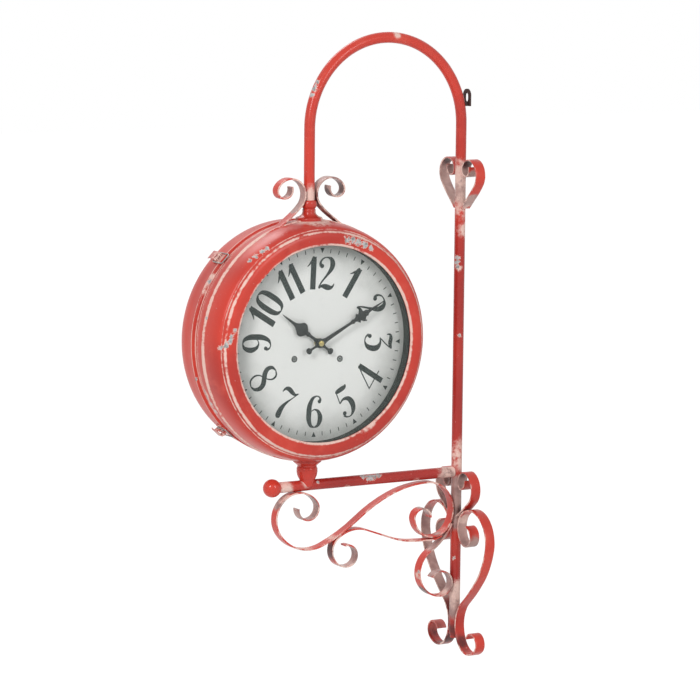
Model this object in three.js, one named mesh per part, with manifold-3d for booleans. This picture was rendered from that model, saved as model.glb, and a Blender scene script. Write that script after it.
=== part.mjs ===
// Double sided station clock on a scrolled wrought hanger that hangs from a wall.
// Millimetres, +Z up. The wall is the plane X = 0, the hanger reaches out along -X and the
// front dial faces -Y. The origin is the middle of the hanging eye's back face.

import * as THREE from 'three';
import { mergeVertices } from 'three/addons/utils/BufferGeometryUtils.js';
import Module from 'manifold-3d';

const wasm = await Module();
wasm.setup();

// ---------------------------------------------------------------- driving dimensions

// Gap left where two pieces touch.
const GAP = 0.3;

// Hanger: one tube bent into leg, round arch and post, with a second tube as the arm.
const TUBE_RADIUS = 9.5;
const TUBE_WALL = 1.5;
const LEG_TO_POST = 305;
const ARCH_ABOVE_ARM = 620;
const POST_BELOW_ARM = 295;
const LEG_INTO_COLLAR = 17;
const BALL_PAST_LEG = 69;
const BALL_RADIUS = 16;
const ARM_INTO_BALL = 9;

// Hanging eye on the back of the post, a little past the start of the arch's bend.
const EYE_PAST_BEND = 45;
const EYE_WIDTH = 23;
const EYE_HEIGHT = 30;
const EYE_THICKNESS = 3;
const EYE_HOLE_WIDTH = 11;
const EYE_HOLE_HEIGHT = 16;
const EYE_FOOT_WIDTH = 12;

// Strip that every scroll is bent from.
const STRIP_WIDTH = 19;
const STRIP_THICKNESS = 3;

// Reach of the hanger that the scrolls' bends are drawn for.
const SCROLLS_DRAWN_FOR = 305;

// Drum, measured along Y from the leg, which stands on the ridge round the front half.
const BODY_RADIUS = 205;
const DRUM_DEPTH = 162;
const FACE_TO_LEG = 63;
const LEG_TO_SEAM = 27;
const RIDGE_HEIGHT = 5;
const RIDGE_WIDTH = 20;
const RIDGE_STEP = 1.5;
const BEAD_HEIGHT = 3.3;
const BEAD_WIDTH = 7;
const FRONT_BEAD_TO_SEAM = 12;
const REAR_BEAD_TO_SEAM = 9;
const SHELL_WALL = 2.5;
const SEAM_GAP = 0.4;

// Dial side, alike at front and rear. Widths across the bezel are measured in from its rim.
const SHOULDER_WIDTH = 8;
const SHOULDER_LENGTH = 28;
const BEZEL_WIDTH = 27;
const BEZEL_EDGE_WIDTH = 4;
const BEZEL_RIM_WIDTH = 3;
const BEZEL_SEAT_WIDTH = 5.5;
const BEZEL_DEPTH = 9;
const BEZEL_THICKNESS = 4.4;
const GLASS_CLEARANCE = 3.5;
const GLASS_THICKNESS = 3;
const GASKET_THICKNESS = 1;
const SPACER_WALL = 2.5;
const DIAL_CLEARANCE = 2.5;
const DIAL_RECESS = 28;
const DIAL_THICKNESS = 1.5;
const LEDGE_WIDTH = 9;
const WINDING_HOLE_RADIUS = 5.5;
const WINDING_HOLE_CIRCLE = 53;
const WINDING_HOLE_ANGLES = [-119, 125];

// Movement, battery, hands and setting knob.
const MOVEMENT_SIZE = 56;
const MOVEMENT_DEPTH = 17;
const BUSH_RADIUS = 4.2;
const BUSH_LENGTH = 5.8;
const BUSH_NUT_RADIUS = 8;
const BUSH_NUT_HEIGHT = 2.3;
const BATTERY_RADIUS = 7;
const BATTERY_LENGTH = 49;
const BATTERY_BELOW_CENTRE = 16;
const KNOB_RADIUS = 6;
const KNOB_HEIGHT = 5;
const KNOB_STEM_RADIUS = 2;
const KNOB_STEM_LENGTH = 6;
const KNOB_ABOVE_CENTRE = 16;
const HOUR_TUBE_RADIUS = 2.9;
const ARBOR_RADIUS = 1.6;
const ARBOR_IN_MOVEMENT = 9;
const HOUR_TUBE_IN_MOVEMENT = 5;
const HAND_THICKNESS = 1.5;
const HOUR_HAND_ABOVE_BUSH = 1.7;
const HAND_SPACING = 3.5;
const HOUR_HAND_LENGTH = 90.5;
const MINUTE_HAND_LENGTH = 141.5;
const HAND_NUT_RADIUS = 5;
const HAND_NUT_HEIGHT = 3.5;
const HOUR_HAND_ANGLE = -54;
const MINUTE_HAND_ANGLE = 62;

// Collar and finial that hold the drum, both turned.
const COLLAR_FLANGE_RADIUS = 23.5;
const COLLAR_FLANGE_HEIGHT = 5;
const COLLAR_WAIST_RADIUS = 11;
const COLLAR_BEAD_RADIUS = 13.5;
const COLLAR_BEAD_HEIGHT = 17;
const COLLAR_HEIGHT = 33;
const FINIAL_HEIGHT = 44;
const FINIAL_FLARE_RADIUS = 25.4;
const FINIAL_CUP_RADIUS = 18;
const FINIAL_FOOT_RADIUS = 13;
const BOLT_RADIUS = 4;
const BOLT_HEAD_RADIUS = 8;
const BOLT_FLANGE_RADIUS = 12;
const BOLT_HEAD_HEIGHT = 6;
const BOLT_INTO_MOUNT = 12;

// Hinge of the rear half, on the wall side.
const KNUCKLE_RADIUS = 5.5;
const HINGE_PIN_RADIUS = 2.5;
const HINGE_HEIGHT = 40;
const HINGE_MIDDLE = 14;
const LEAF_THICKNESS = 2.5;
const FRONT_LEAF_LENGTH = 34;
const REAR_LEAF_LENGTH = 30;

// Toggle latches on the free side, measured round from the top and along Y from the seam.
const LATCH_ANGLES = { upper: -46, lower: -137.5 };
const LATCH_PIVOT_HEIGHT = 7;
const LATCH_PIVOT_TO_SEAM = 19;
const LOOP_PIVOT_BEHIND = 6;
const LOOP_PIVOT_BELOW = 1;
const LOOP_BAR_TO_SEAM = 8;
const LOOP_WIRE_RADIUS = 1;
const LATCH_BASE_WIDTH = 18;
const LATCH_BASE_LENGTH = 21;
const LATCH_BASE_THICKNESS = 2.5;
const LATCH_EAR_RADIUS = 3;
const LATCH_EAR_THICKNESS = 2.2;
const LATCH_EAR_SPREAD = 3.2;
const LATCH_PIN_RADIUS = 1.5;
const LATCH_SIDE_GAP = 0.5;
const LEVER_CHEEK_THICKNESS = 2;
const LEVER_LENGTH = 24;
const LEVER_PLATE = 1.8;
const CATCH_WIDTH = 13;
const CATCH_LENGTH = 7;
const CATCH_LIP = 2;

// Fineness of turned, swept and bent shapes.
const DRUM_SIDES = 30;
const TURNED_SIDES = 12;
const PIN_SIDES = 10;
const WIRE_SIDES = 8;
const BEND_STEP = 18;

// ---------------------------------------------------------------- places that follow

const EYE_ABOVE_ARM = ARCH_ABOVE_ARM + EYE_PAST_BEND;
const POST_X = -(EYE_THICKNESS + GAP + TUBE_RADIUS);
const ARCH_RADIUS = LEG_TO_POST / 2;
const TUBE_SURFACE = TUBE_RADIUS + GAP;
const SCROLL_UNIT = LEG_TO_POST / SCROLLS_DRAWN_FOR;
const RIDGE_RADIUS = BODY_RADIUS + RIDGE_HEIGHT;
const DRUM_ABOVE_ARM = RIDGE_RADIUS + FINIAL_HEIGHT;
const BEZEL_RIM_RADIUS = BODY_RADIUS - SHOULDER_WIDTH;
const BEZEL_EDGE_RADIUS = BEZEL_RIM_RADIUS - BEZEL_EDGE_WIDTH;
const OPENING_RADIUS = BEZEL_RIM_RADIUS - BEZEL_WIDTH;
const SEAT_RADIUS = BEZEL_RIM_RADIUS - BEZEL_SEAT_WIDTH;
const GLASS_RADIUS = SEAT_RADIUS - GLASS_CLEARANCE;
const DIAL_RADIUS = SEAT_RADIUS - DIAL_CLEARANCE;
const LEDGE_RADIUS = DIAL_RADIUS - LEDGE_WIDTH;
const FACE_Y = -FACE_TO_LEG;
const REAR_SHIFT = DRUM_DEPTH - 2 * FACE_TO_LEG;
const BEZEL_SEAT_Y = FACE_Y + BEZEL_DEPTH;
const GLASS_Y = FACE_Y + BEZEL_THICKNESS + GAP + GASKET_THICKNESS + GAP;
const DIAL_Y = FACE_Y + DIAL_RECESS;
const LEDGE_Y = DIAL_Y + DIAL_THICKNESS + GAP;
const MOVEMENT_Y = LEDGE_Y;
const BUSH_Y = MOVEMENT_Y - BUSH_LENGTH;
const HOUR_HAND_Y = BUSH_Y - HOUR_HAND_ABOVE_BUSH;
const MINUTE_HAND_Y = HOUR_HAND_Y - HAND_SPACING;
const HAND_NUT_Y = MINUTE_HAND_Y - HAND_THICKNESS - GAP;
const HINGE_X = BODY_RADIUS + BEAD_HEIGHT + GAP + KNUCKLE_RADIUS + GAP;
const BEAD_TOP_RADIUS = BODY_RADIUS + BEAD_HEIGHT;

// ---------------------------------------------------------------- finishes

const RED_PAINT = { color: 0xc94b41, roughness: 0.38, metalness: 0 };
const WORN_PAINT = { color: 0xd9a49a, roughness: 0.6, metalness: 0 };
const DULL_PAINT = { color: 0xa8484a, roughness: 0.6, metalness: 0 };
const DARK_IRON = { color: 0x3a2420, roughness: 0.7, metalness: 0.3 };
const STEEL = { color: 0x9a9a98, roughness: 0.4, metalness: 0.9 };
const BRASS = { color: 0xb98f4c, roughness: 0.35, metalness: 0.9 };
const DIAL_WHITE = { color: 0xe9e4dc, roughness: 0.8, metalness: 0 };
const HAND_BLACK = { color: 0x1c1b1b, roughness: 0.5, metalness: 0 };
const CLEAR_GLASS = { color: 0xf2f6f6, roughness: 0.05, metalness: 0 };
const RUBBER = { color: 0x2a2a2a, roughness: 0.9, metalness: 0 };
const BLACK_PLASTIC = { color: 0x232323, roughness: 0.55, metalness: 0 };
const CELL_WRAP = { color: 0x4f7d4a, roughness: 0.45, metalness: 0 };

// ---------------------------------------------------------------- tools for shapes

const rad = THREE.MathUtils.degToRad;

// A finished piece: one named mesh in its parent group.
function piece(parent, name, geometry, finish) {
  const mesh = new THREE.Mesh(geometry, new THREE.MeshStandardMaterial(finish));
  mesh.name = name;
  parent.add(mesh);
  return mesh;
}

function toSolid(geometry) {
  const bare = geometry.clone();
  bare.deleteAttribute('normal');
  bare.deleteAttribute('uv');
  const merged = mergeVertices(bare);
  const corners = [];
  for (let i = 0; i < merged.index.count; i += 3) {
    const [a, b, c] = [0, 1, 2].map((k) => merged.index.getX(i + k));
    if (a !== b && b !== c && c !== a) corners.push(a, b, c);
  }
  return new wasm.Manifold(new wasm.Mesh({
    numProp: 3,
    vertProperties: new Float32Array(merged.attributes.position.array),
    triVerts: new Uint32Array(corners),
  }));
}

function toGeometry(solid) {
  const mesh = solid.getMesh();
  const geometry = new THREE.BufferGeometry();
  geometry.setAttribute('position', new THREE.BufferAttribute(mesh.vertProperties, 3));
  geometry.setIndex(new THREE.BufferAttribute(mesh.triVerts, 1));
  geometry.computeVertexNormals();
  return geometry;
}

function join(...geometries) {
  return toGeometry(geometries.map(toSolid).reduce((whole, part) => whole.add(part)));
}

function cut(geometry, ...tools) {
  return toGeometry(tools.map(toSolid).reduce((rest, tool) => rest.subtract(tool), toSolid(geometry)));
}

// A box between two corners.
function block([x0, y0, z0], [x1, y1, z1]) {
  const box = new THREE.BoxGeometry(x1 - x0, y1 - y0, z1 - z0);
  return box.translate((x0 + x1) / 2, (y0 + y1) / 2, (z0 + z1) / 2);
}

// Revolves [radius, y] points about Y. Outer faces are listed with rising y.
function turn(points, sides) {
  return new THREE.LatheGeometry(points.map(([r, y]) => new THREE.Vector2(r, y)), sides);
}

function turnRing(points, sides) {
  return turn([...points, points[0]], sides);
}

// A flat ring or disc about Y between two heights.
function washer(inner, outer, low, high, sides) {
  if (inner === 0) return turn([[0, low], [outer, low], [outer, high], [0, high]], sides);
  return turnRing([[inner, low], [outer, low], [outer, high], [inner, high]], sides);
}

// Rods along Z and along X between two places.
function rodZ(radius, low, high, sides = TURNED_SIDES) {
  return washer(0, radius, low, high, sides).rotateX(Math.PI / 2);
}

function rodX(radius, low, high, sides = TURNED_SIDES) {
  return washer(0, radius, low, high, sides).rotateZ(-Math.PI / 2);
}

// Bends as a smith sets them out: straight runs and arcs, where a left turn is positive.
const run = (length) => ({ length, bend: 0 });
const arc = (radius, degrees) => ({ length: radius * Math.abs(rad(degrees)), bend: rad(degrees) });

// A path of bends in the XY plane. What is swept along it keeps its width square to the plane.
class BentPath extends THREE.Curve {
  constructor([x, y], heading, bends, step = BEND_STEP) {
    super();
    this.points = [new THREE.Vector3(x, y, 0)];
    this.headings = [rad(heading)];
    for (const { length, bend } of bends) this.follow(length, bend, rad(step));
  }

  follow(length, bend, step) {
    const count = Math.max(1, Math.ceil(Math.abs(bend) / step));
    const angle = bend / count;
    const chord = bend === 0 ? length : (2 * length / Math.abs(bend)) * Math.sin(Math.abs(angle) / 2);
    for (let i = 0; i < count; i += 1) {
      const from = this.points.at(-1);
      const heading = this.headings.at(-1);
      const along = new THREE.Vector3(Math.cos(heading + angle / 2), Math.sin(heading + angle / 2), 0);
      this.points.push(from.clone().addScaledVector(along, chord));
      this.headings.push(heading + angle);
    }
  }

  // Moves the path so that a strip along it just comes to a place on one axis.
  seat(axis, side, place) {
    const edges = this.points.map((point, i) => {
      const slant = axis === 'x' ? Math.sin(this.headings[i]) : Math.cos(this.headings[i]);
      return side * point[axis] + Math.abs(slant) * STRIP_THICKNESS / 2;
    });
    const shift = place - side * Math.max(...edges);
    for (const point of this.points) point[axis] += shift;
    return this;
  }

  getPoint(t) {
    return this.points[Math.round(t * (this.points.length - 1))].clone();
  }

  getSpacedPoints() {
    return this.points;
  }

  computeFrenetFrames() {
    return {
      tangents: this.headings.map((h) => new THREE.Vector3(Math.cos(h), Math.sin(h), 0)),
      normals: this.headings.map(() => new THREE.Vector3(0, 0, 1)),
      binormals: this.headings.map((h) => new THREE.Vector3(Math.sin(h), -Math.cos(h), 0)),
    };
  }
}

function sweep(path, outline, curveSegments) {
  const steps = path.points.length - 1;
  return new THREE.ExtrudeGeometry(outline, { steps, curveSegments, bevelEnabled: false, extrudePath: path });
}

function stripOutline(grow = 0) {
  const width = STRIP_WIDTH / 2 + grow;
  const thickness = STRIP_THICKNESS / 2 + grow;
  return new THREE.Shape([
    new THREE.Vector2(-width, -thickness),
    new THREE.Vector2(width, -thickness),
    new THREE.Vector2(width, thickness),
    new THREE.Vector2(-width, thickness),
  ]);
}

function roundOutline(radius, bore = 0) {
  const outline = new THREE.Shape().absarc(0, 0, radius, 0, 2 * Math.PI);
  if (bore > 0) outline.holes.push(new THREE.Path().absarc(0, 0, bore, 0, 2 * Math.PI, true));
  return outline;
}

// A scroll's path, from bends that grow with the hanger's reach.
function scroll([x, y], heading, bends) {
  const scaled = bends.map(({ length, bend }) => ({ length: length * SCROLL_UNIT, bend }));
  return new BentPath([x * SCROLL_UNIT, y * SCROLL_UNIT], heading, scaled);
}

function bentStrip(path, grow) {
  return sweep(path, stripOutline(grow));
}

// ---------------------------------------------------------------- hanger

// The group's origin is where the arm's axis meets the post's axis.
const hanger = new THREE.Group();
hanger.position.set(POST_X, 0, -EYE_ABOVE_ARM);

const COLLAR_TOP_ABOVE_ARM = DRUM_ABOVE_ARM + RIDGE_RADIUS + COLLAR_HEIGHT;

// The leg, arch and post in one bend.
function hangerSweep(radius, bore) {
  const legEnd = COLLAR_TOP_ABOVE_ARM - LEG_INTO_COLLAR;
  const path = new BentPath([-LEG_TO_POST, legEnd], 90, [
    run(ARCH_ABOVE_ARM - legEnd),
    arc(ARCH_RADIUS, -180),
    run(ARCH_ABOVE_ARM + POST_BELOW_ARM),
  ]);
  return sweep(path, roundOutline(radius, bore), TURNED_SIDES / 2).rotateX(Math.PI / 2);
}

function hangerTube() {
  return hangerSweep(TUBE_RADIUS, TUBE_RADIUS - TUBE_WALL);
}

// The arm's end is hollowed to fit round the post.
function armTube() {
  const armStart = -(LEG_TO_POST + BALL_PAST_LEG) + ARM_INTO_BALL - BALL_RADIUS;
  const tube = washer(TUBE_RADIUS - TUBE_WALL, TUBE_RADIUS, armStart, 0, TURNED_SIDES).rotateZ(-Math.PI / 2);
  return cut(tube, rodZ(TUBE_RADIUS + GAP, -2 * TUBE_RADIUS, 2 * TUBE_RADIUS));
}

function armBall() {
  const centre = -(LEG_TO_POST + BALL_PAST_LEG);
  const socketEnd = centre + ARM_INTO_BALL - BALL_RADIUS - GAP;
  const ball = new THREE.SphereGeometry(BALL_RADIUS, TURNED_SIDES, 10).rotateX(Math.PI / 2).translate(centre, 0, 0);
  return cut(ball, rodX(TUBE_RADIUS + GAP, socketEnd, centre + 2 * BALL_RADIUS));
}

// A plate with a round top and a tall hole for the wall hook. Its foot reaches forward to
// the tube, which has begun to bend away from the wall there.
function hangingEye() {
  const half = EYE_WIDTH / 2;
  const drop = EYE_HEIGHT - half;
  const outline = new THREE.Shape();
  outline.moveTo(-half, -EYE_HEIGHT / 2);
  outline.lineTo(half, -EYE_HEIGHT / 2);
  outline.lineTo(half, drop - EYE_HEIGHT / 2);
  outline.absarc(0, drop - EYE_HEIGHT / 2, half, 0, Math.PI, false);
  const holeRadius = EYE_HOLE_WIDTH / 2;
  const holeRise = (EYE_HOLE_HEIGHT - EYE_HOLE_WIDTH) / 2;
  const hole = new THREE.Path();
  hole.absarc(0, holeRise, holeRadius, 0, Math.PI, false);
  hole.absarc(0, -holeRise, holeRadius, Math.PI, 2 * Math.PI, false);
  outline.holes.push(hole);
  const plate = new THREE.ExtrudeGeometry(outline, { depth: EYE_THICKNESS, bevelEnabled: false, curveSegments: 8 });
  plate.rotateX(Math.PI / 2).rotateZ(Math.PI / 2);
  const foot = block(
    [-TUBE_RADIUS, -EYE_FOOT_WIDTH / 2, -EYE_HEIGHT / 2],
    [EYE_THICKNESS / 2, EYE_FOOT_WIDTH / 2, -EYE_HOLE_HEIGHT / 2 - 1],
  );
  const tubeSpace = hangerSweep(TUBE_SURFACE, 0).translate(EYE_THICKNESS + POST_X, 0, -EYE_ABOVE_ARM);
  return cut(join(plate, foot), tubeSpace);
}

piece(hanger, 'hanger_tube', hangerTube(), RED_PAINT);
piece(hanger, 'arm_tube', armTube(), RED_PAINT);
piece(hanger, 'arm_ball', armBall(), RED_PAINT);
const eye = piece(hanger, 'hanging_eye', hangingEye(), DARK_IRON);
eye.position.set(-POST_X - EYE_THICKNESS, 0, EYE_ABOVE_ARM);

// ---------------------------------------------------------------- scrolls in the arm's plane

// The long S under the arm: a tight curl at the free end, a flat reach, a curl by the post.
const armScrollPath = scroll([-323, -37], -94, [
  arc(20, 221), arc(44, 100), arc(46, 79), arc(71, 76), arc(298, 16),
  arc(276, -16), arc(197, -22), arc(53, -120), arc(39, -140), arc(17, -189),
]).seat('x', 1, -TUBE_SURFACE).seat('y', 1, -TUBE_SURFACE);

// The small scroll on the post starts just under the S's curl.
const postScrollPath = scroll([-12, -92], -115, [
  arc(104, -35), arc(45, 58), arc(44, 95), arc(22, 233),
]).seat('x', 1, -TUBE_SURFACE);

// The link curls under the S's reach and runs on under its curl by the post.
const linkScrollPath = scroll([-231, -112.4], 13, [
  arc(19, -184), arc(29, -149), arc(60, -60), run(57), arc(148, 18), run(30), arc(50, 30),
]);

// A scroll in the arm's plane, trimmed where it meets scrolls that lie against it.
function armPlaneScroll(name, path, neighbours) {
  const strip = cut(bentStrip(path), ...neighbours.map((neighbour) => bentStrip(neighbour, GAP)));
  piece(hanger, name, strip, DULL_PAINT).rotation.x = Math.PI / 2;
}

armPlaneScroll('arm_scroll', armScrollPath, []);
armPlaneScroll('post_scroll', postScrollPath, [armScrollPath]);
armPlaneScroll('link_scroll', linkScrollPath, [armScrollPath, postScrollPath]);

// ---------------------------------------------------------------- scrolls in the wall's plane

// Each is a pair, one on the front side of the post and one on the back, with their
// edges against the wall. Paths give the distance from the post's axis and the height.
const WALL_PLANE_SCROLLS = {
  upper_heart: scroll([10, 471], 43, [run(37), arc(149, 10), arc(26, 112), arc(25, 67), arc(12, 241)]),
  lower_heart: scroll([10, -78], 32, [arc(307, 9), arc(30, 119), arc(19, 127), arc(9, 118), arc(28, 34)]),
  lyre: scroll([36, -93], -5, [
    arc(18, -213), arc(34, -111), arc(50, -71), arc(53, -64), arc(149, -25),
    arc(353, -11), arc(56, 80), arc(37, 102), arc(17, 208),
  ]),
};

// Turns a strip's local X, Y and Z to the side it reaches to, up, and square to both.
function wallPlane(side) {
  return new THREE.Matrix4().makeBasis(
    new THREE.Vector3(0, side, 0),
    new THREE.Vector3(0, 0, 1),
    new THREE.Vector3(side, 0, 0),
  );
}

for (const [name, path] of Object.entries(WALL_PLANE_SCROLLS)) {
  path.seat('x', -1, TUBE_SURFACE);
  for (const [end, side] of [['front', -1], ['back', 1]]) {
    const strip = piece(hanger, `${name}_${end}`, bentStrip(path), DULL_PAINT);
    strip.setRotationFromMatrix(wallPlane(side));
    strip.position.x = -POST_X - STRIP_WIDTH / 2;
  }
}

// ---------------------------------------------------------------- drum shells

// The group's origin is where the drum's axis meets the leg's axis.
const drum = new THREE.Group();
drum.position.set(POST_X - LEG_TO_POST, 0, DRUM_ABOVE_ARM - EYE_ABOVE_ARM);

const RIDGE_Y = RIDGE_WIDTH / 2;
const FRONT_BEAD_Y = LEG_TO_SEAM - FRONT_BEAD_TO_SEAM;
const REAR_BEAD_Y = LEG_TO_SEAM + REAR_BEAD_TO_SEAM;
const FRONT_SEAM_Y = LEG_TO_SEAM - SEAM_GAP / 2;
const REAR_SEAM_Y = LEG_TO_SEAM + SEAM_GAP / 2;
const REAR_SEAT_Y = REAR_SHIFT - BEZEL_SEAT_Y - GAP;
const REAR_LEDGE_Y = REAR_SHIFT - LEDGE_Y;
const INNER_RADIUS = BODY_RADIUS - SHELL_WALL;
const RIDGE_FOOT_RADIUS = RIDGE_RADIUS - RIDGE_STEP;
const SHOULDER_STEPS = [0, 0.35, 0.7, 1];

// A point on the rounded shoulder that rises from the bezel's seat to the drum's body.
function shoulder(share, seatY, bodyY, bodyRadius) {
  const angle = share * Math.PI / 2;
  const radius = BEZEL_RIM_RADIUS + (bodyRadius - BEZEL_RIM_RADIUS) * Math.sin(angle);
  return [radius, seatY + (bodyY - seatY) * (1 - Math.cos(angle))];
}

const frontShoulder = (share) => shoulder(share, BEZEL_SEAT_Y + GAP, -RIDGE_Y, RIDGE_FOOT_RADIUS);
const rearShoulder = (share) => shoulder(share, REAR_SEAT_Y, REAR_SEAT_Y - SHOULDER_LENGTH, BODY_RADIUS);

function bead(y) {
  const crest = BEAD_WIDTH / 4;
  return [
    [BODY_RADIUS, y - BEAD_WIDTH / 2],
    [BEAD_TOP_RADIUS, y - crest],
    [BEAD_TOP_RADIUS, y + crest],
    [BODY_RADIUS, y + BEAD_WIDTH / 2],
  ];
}

// Outlines of the shells' outer faces, in order of rising y.
function frontOutline() {
  return [
    ...SHOULDER_STEPS.map(frontShoulder),
    [RIDGE_RADIUS, -RIDGE_Y],
    [RIDGE_RADIUS, RIDGE_Y],
    ...bead(FRONT_BEAD_Y),
    [BODY_RADIUS, FRONT_SEAM_Y],
  ];
}

function rearOutline() {
  return [[BODY_RADIUS, REAR_SEAM_Y], ...bead(REAR_BEAD_Y), ...SHOULDER_STEPS.map(rearShoulder).reverse()];
}

// The space a shell fills, grown by the gap, to shape what seats on it.
function shellSpace(outline) {
  const points = outline.map(([r, y], i) => {
    const next = outline[Math.min(i + 1, outline.length - 1)];
    const last = outline[Math.max(i - 1, 0)];
    const rises = next[0] > r + GAP || (last[0] < r - GAP && next[0] >= r);
    const falls = last[0] > r + GAP || (next[0] < r - GAP && last[0] >= r);
    return [r + GAP, y - (rises ? GAP : 0) + (falls ? GAP : 0)];
  });
  return turn([[0, points[0][1]], ...points, [0, points.at(-1)[1]]], DRUM_SIDES);
}

const frontSpace = shellSpace(frontOutline());
const rearSpace = shellSpace(rearOutline());

// Each shell has a narrow seat for its bezel and a ledge inside for its dial.
function frontShell() {
  const shell = turnRing([
    [SEAT_RADIUS, BEZEL_SEAT_Y + GAP],
    ...frontOutline(),
    [INNER_RADIUS, FRONT_SEAM_Y],
    [INNER_RADIUS, LEDGE_Y + SHELL_WALL],
    [LEDGE_RADIUS, LEDGE_Y + SHELL_WALL],
    [LEDGE_RADIUS, LEDGE_Y],
    [INNER_RADIUS, LEDGE_Y],
    [frontShoulder(0.3)[0] - SHELL_WALL, frontShoulder(0.3)[1]],
    [BEZEL_RIM_RADIUS, BEZEL_SEAT_Y + GAP + SHELL_WALL],
    [SEAT_RADIUS, BEZEL_SEAT_Y + GAP + SHELL_WALL],
  ], DRUM_SIDES);
  const reach = RIDGE_RADIUS + BOLT_INTO_MOUNT;
  return cut(shell, rodZ(BOLT_RADIUS + GAP, -reach, reach));
}

function rearShell() {
  return turnRing([
    [INNER_RADIUS, REAR_SEAM_Y],
    ...rearOutline(),
    [SEAT_RADIUS, REAR_SEAT_Y],
    [SEAT_RADIUS, REAR_SEAT_Y - SHELL_WALL],
    [BEZEL_RIM_RADIUS, REAR_SEAT_Y - SHELL_WALL],
    [rearShoulder(0.4)[0] - SHELL_WALL, rearShoulder(0.4)[1]],
    [INNER_RADIUS, REAR_LEDGE_Y],
    [LEDGE_RADIUS, REAR_LEDGE_Y],
    [LEDGE_RADIUS, REAR_LEDGE_Y - SHELL_WALL],
    [INNER_RADIUS, REAR_LEDGE_Y - SHELL_WALL],
  ], DRUM_SIDES);
}

piece(drum, 'front_shell', frontShell(), RED_PAINT);
piece(drum, 'rear_shell', rearShell(), RED_PAINT);

// ---------------------------------------------------------------- collar, finial, top scrolls

function topCollar() {
  const foot = RIDGE_RADIUS - 2 * COLLAR_FLANGE_HEIGHT;
  const top = RIDGE_RADIUS + COLLAR_HEIGHT;
  const beadFoot = top - COLLAR_BEAD_HEIGHT;
  const body = turn([
    [0, foot],
    [COLLAR_FLANGE_RADIUS, foot],
    [COLLAR_FLANGE_RADIUS, RIDGE_RADIUS + 1],
    [COLLAR_FLANGE_RADIUS - 2.5, RIDGE_RADIUS + COLLAR_FLANGE_HEIGHT - 1],
    [COLLAR_WAIST_RADIUS + 2, RIDGE_RADIUS + COLLAR_FLANGE_HEIGHT],
    [COLLAR_WAIST_RADIUS, RIDGE_RADIUS + COLLAR_FLANGE_HEIGHT + 3],
    [COLLAR_WAIST_RADIUS, beadFoot - 3],
    [COLLAR_BEAD_RADIUS, beadFoot],
    [COLLAR_BEAD_RADIUS, top - 4],
    [TUBE_RADIUS + GAP + 1, top],
    [0, top],
  ], TURNED_SIDES).rotateX(Math.PI / 2);
  const legBore = rodZ(TUBE_RADIUS + GAP, top - LEG_INTO_COLLAR - GAP, top + 1);
  const boltBore = rodZ(BOLT_RADIUS + GAP, foot - 1, RIDGE_RADIUS + BOLT_INTO_MOUNT + GAP);
  return cut(body, legBore, boltBore, frontSpace);
}

function bottomFinial() {
  const arm = -DRUM_ABOVE_ARM;
  const top = -RIDGE_RADIUS;
  const body = turn([
    [0, arm],
    [FINIAL_FOOT_RADIUS - 1, arm],
    [FINIAL_FOOT_RADIUS, arm + TUBE_RADIUS],
    [FINIAL_FOOT_RADIUS + 2, arm + TUBE_RADIUS + 5],
    [FINIAL_CUP_RADIUS, arm + TUBE_RADIUS + 12],
    [FINIAL_CUP_RADIUS, top - 11],
    [FINIAL_CUP_RADIUS - 2, top - 9],
    [FINIAL_CUP_RADIUS + 1, top - 6],
    [FINIAL_FLARE_RADIUS, top - 1.5],
    [FINIAL_FLARE_RADIUS, top + 10],
    [0, top + 10],
  ], TURNED_SIDES).rotateX(Math.PI / 2);
  const armBore = rodX(TUBE_RADIUS + GAP, -FINIAL_FLARE_RADIUS, FINIAL_FLARE_RADIUS).translate(0, 0, arm);
  const boltBore = rodZ(BOLT_RADIUS + GAP, top - BOLT_INTO_MOUNT - GAP, top + 11);
  return cut(body, armBore, boltBore, frontSpace);
}

// A flanged bolt that reaches out through the shell, its head inside the drum.
function flangedBolt() {
  const seat = INNER_RADIUS - BOLT_FLANGE_RADIUS * Math.tan(Math.PI / DRUM_SIDES) - GAP;
  const flange = BOLT_HEAD_HEIGHT / 3;
  return turn([
    [0, seat - BOLT_HEAD_HEIGHT],
    [BOLT_HEAD_RADIUS, seat - BOLT_HEAD_HEIGHT],
    [BOLT_HEAD_RADIUS, seat - flange],
    [BOLT_FLANGE_RADIUS, seat - flange],
    [BOLT_FLANGE_RADIUS, seat],
    [BOLT_RADIUS, seat],
    [BOLT_RADIUS, RIDGE_RADIUS + BOLT_INTO_MOUNT],
    [0, RIDGE_RADIUS + BOLT_INTO_MOUNT],
  ], PIN_SIDES).rotateX(Math.PI / 2);
}

// A scroll beside the leg whose tail comes down on the ridge.
function topScroll(collar) {
  const path = scroll([38, 57], -107, [
    arc(15, 129), arc(13, 99), arc(28, 93), arc(28, 97), arc(130, 12), run(33),
  ]).seat('x', -1, TUBE_SURFACE);
  const strip = bentStrip(path).translate(0, RIDGE_RADIUS, 0).rotateX(Math.PI / 2);
  return cut(strip, collar, frontSpace);
}

// The collar's outside, grown by the gap.
const collarSpace = rodZ(COLLAR_BEAD_RADIUS + GAP, RIDGE_RADIUS, RIDGE_RADIUS + COLLAR_HEIGHT + GAP);

piece(drum, 'top_collar', topCollar(), WORN_PAINT);
piece(drum, 'bottom_finial', bottomFinial(), RED_PAINT);
piece(drum, 'hanging_bolt', flangedBolt(), STEEL);
piece(drum, 'finial_bolt', flangedBolt(), STEEL).rotation.x = Math.PI;
piece(drum, 'top_scroll_right', topScroll(collarSpace), DULL_PAINT);
piece(drum, 'top_scroll_left', topScroll(collarSpace), DULL_PAINT).rotation.z = Math.PI;

// ---------------------------------------------------------------- dial sides

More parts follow.
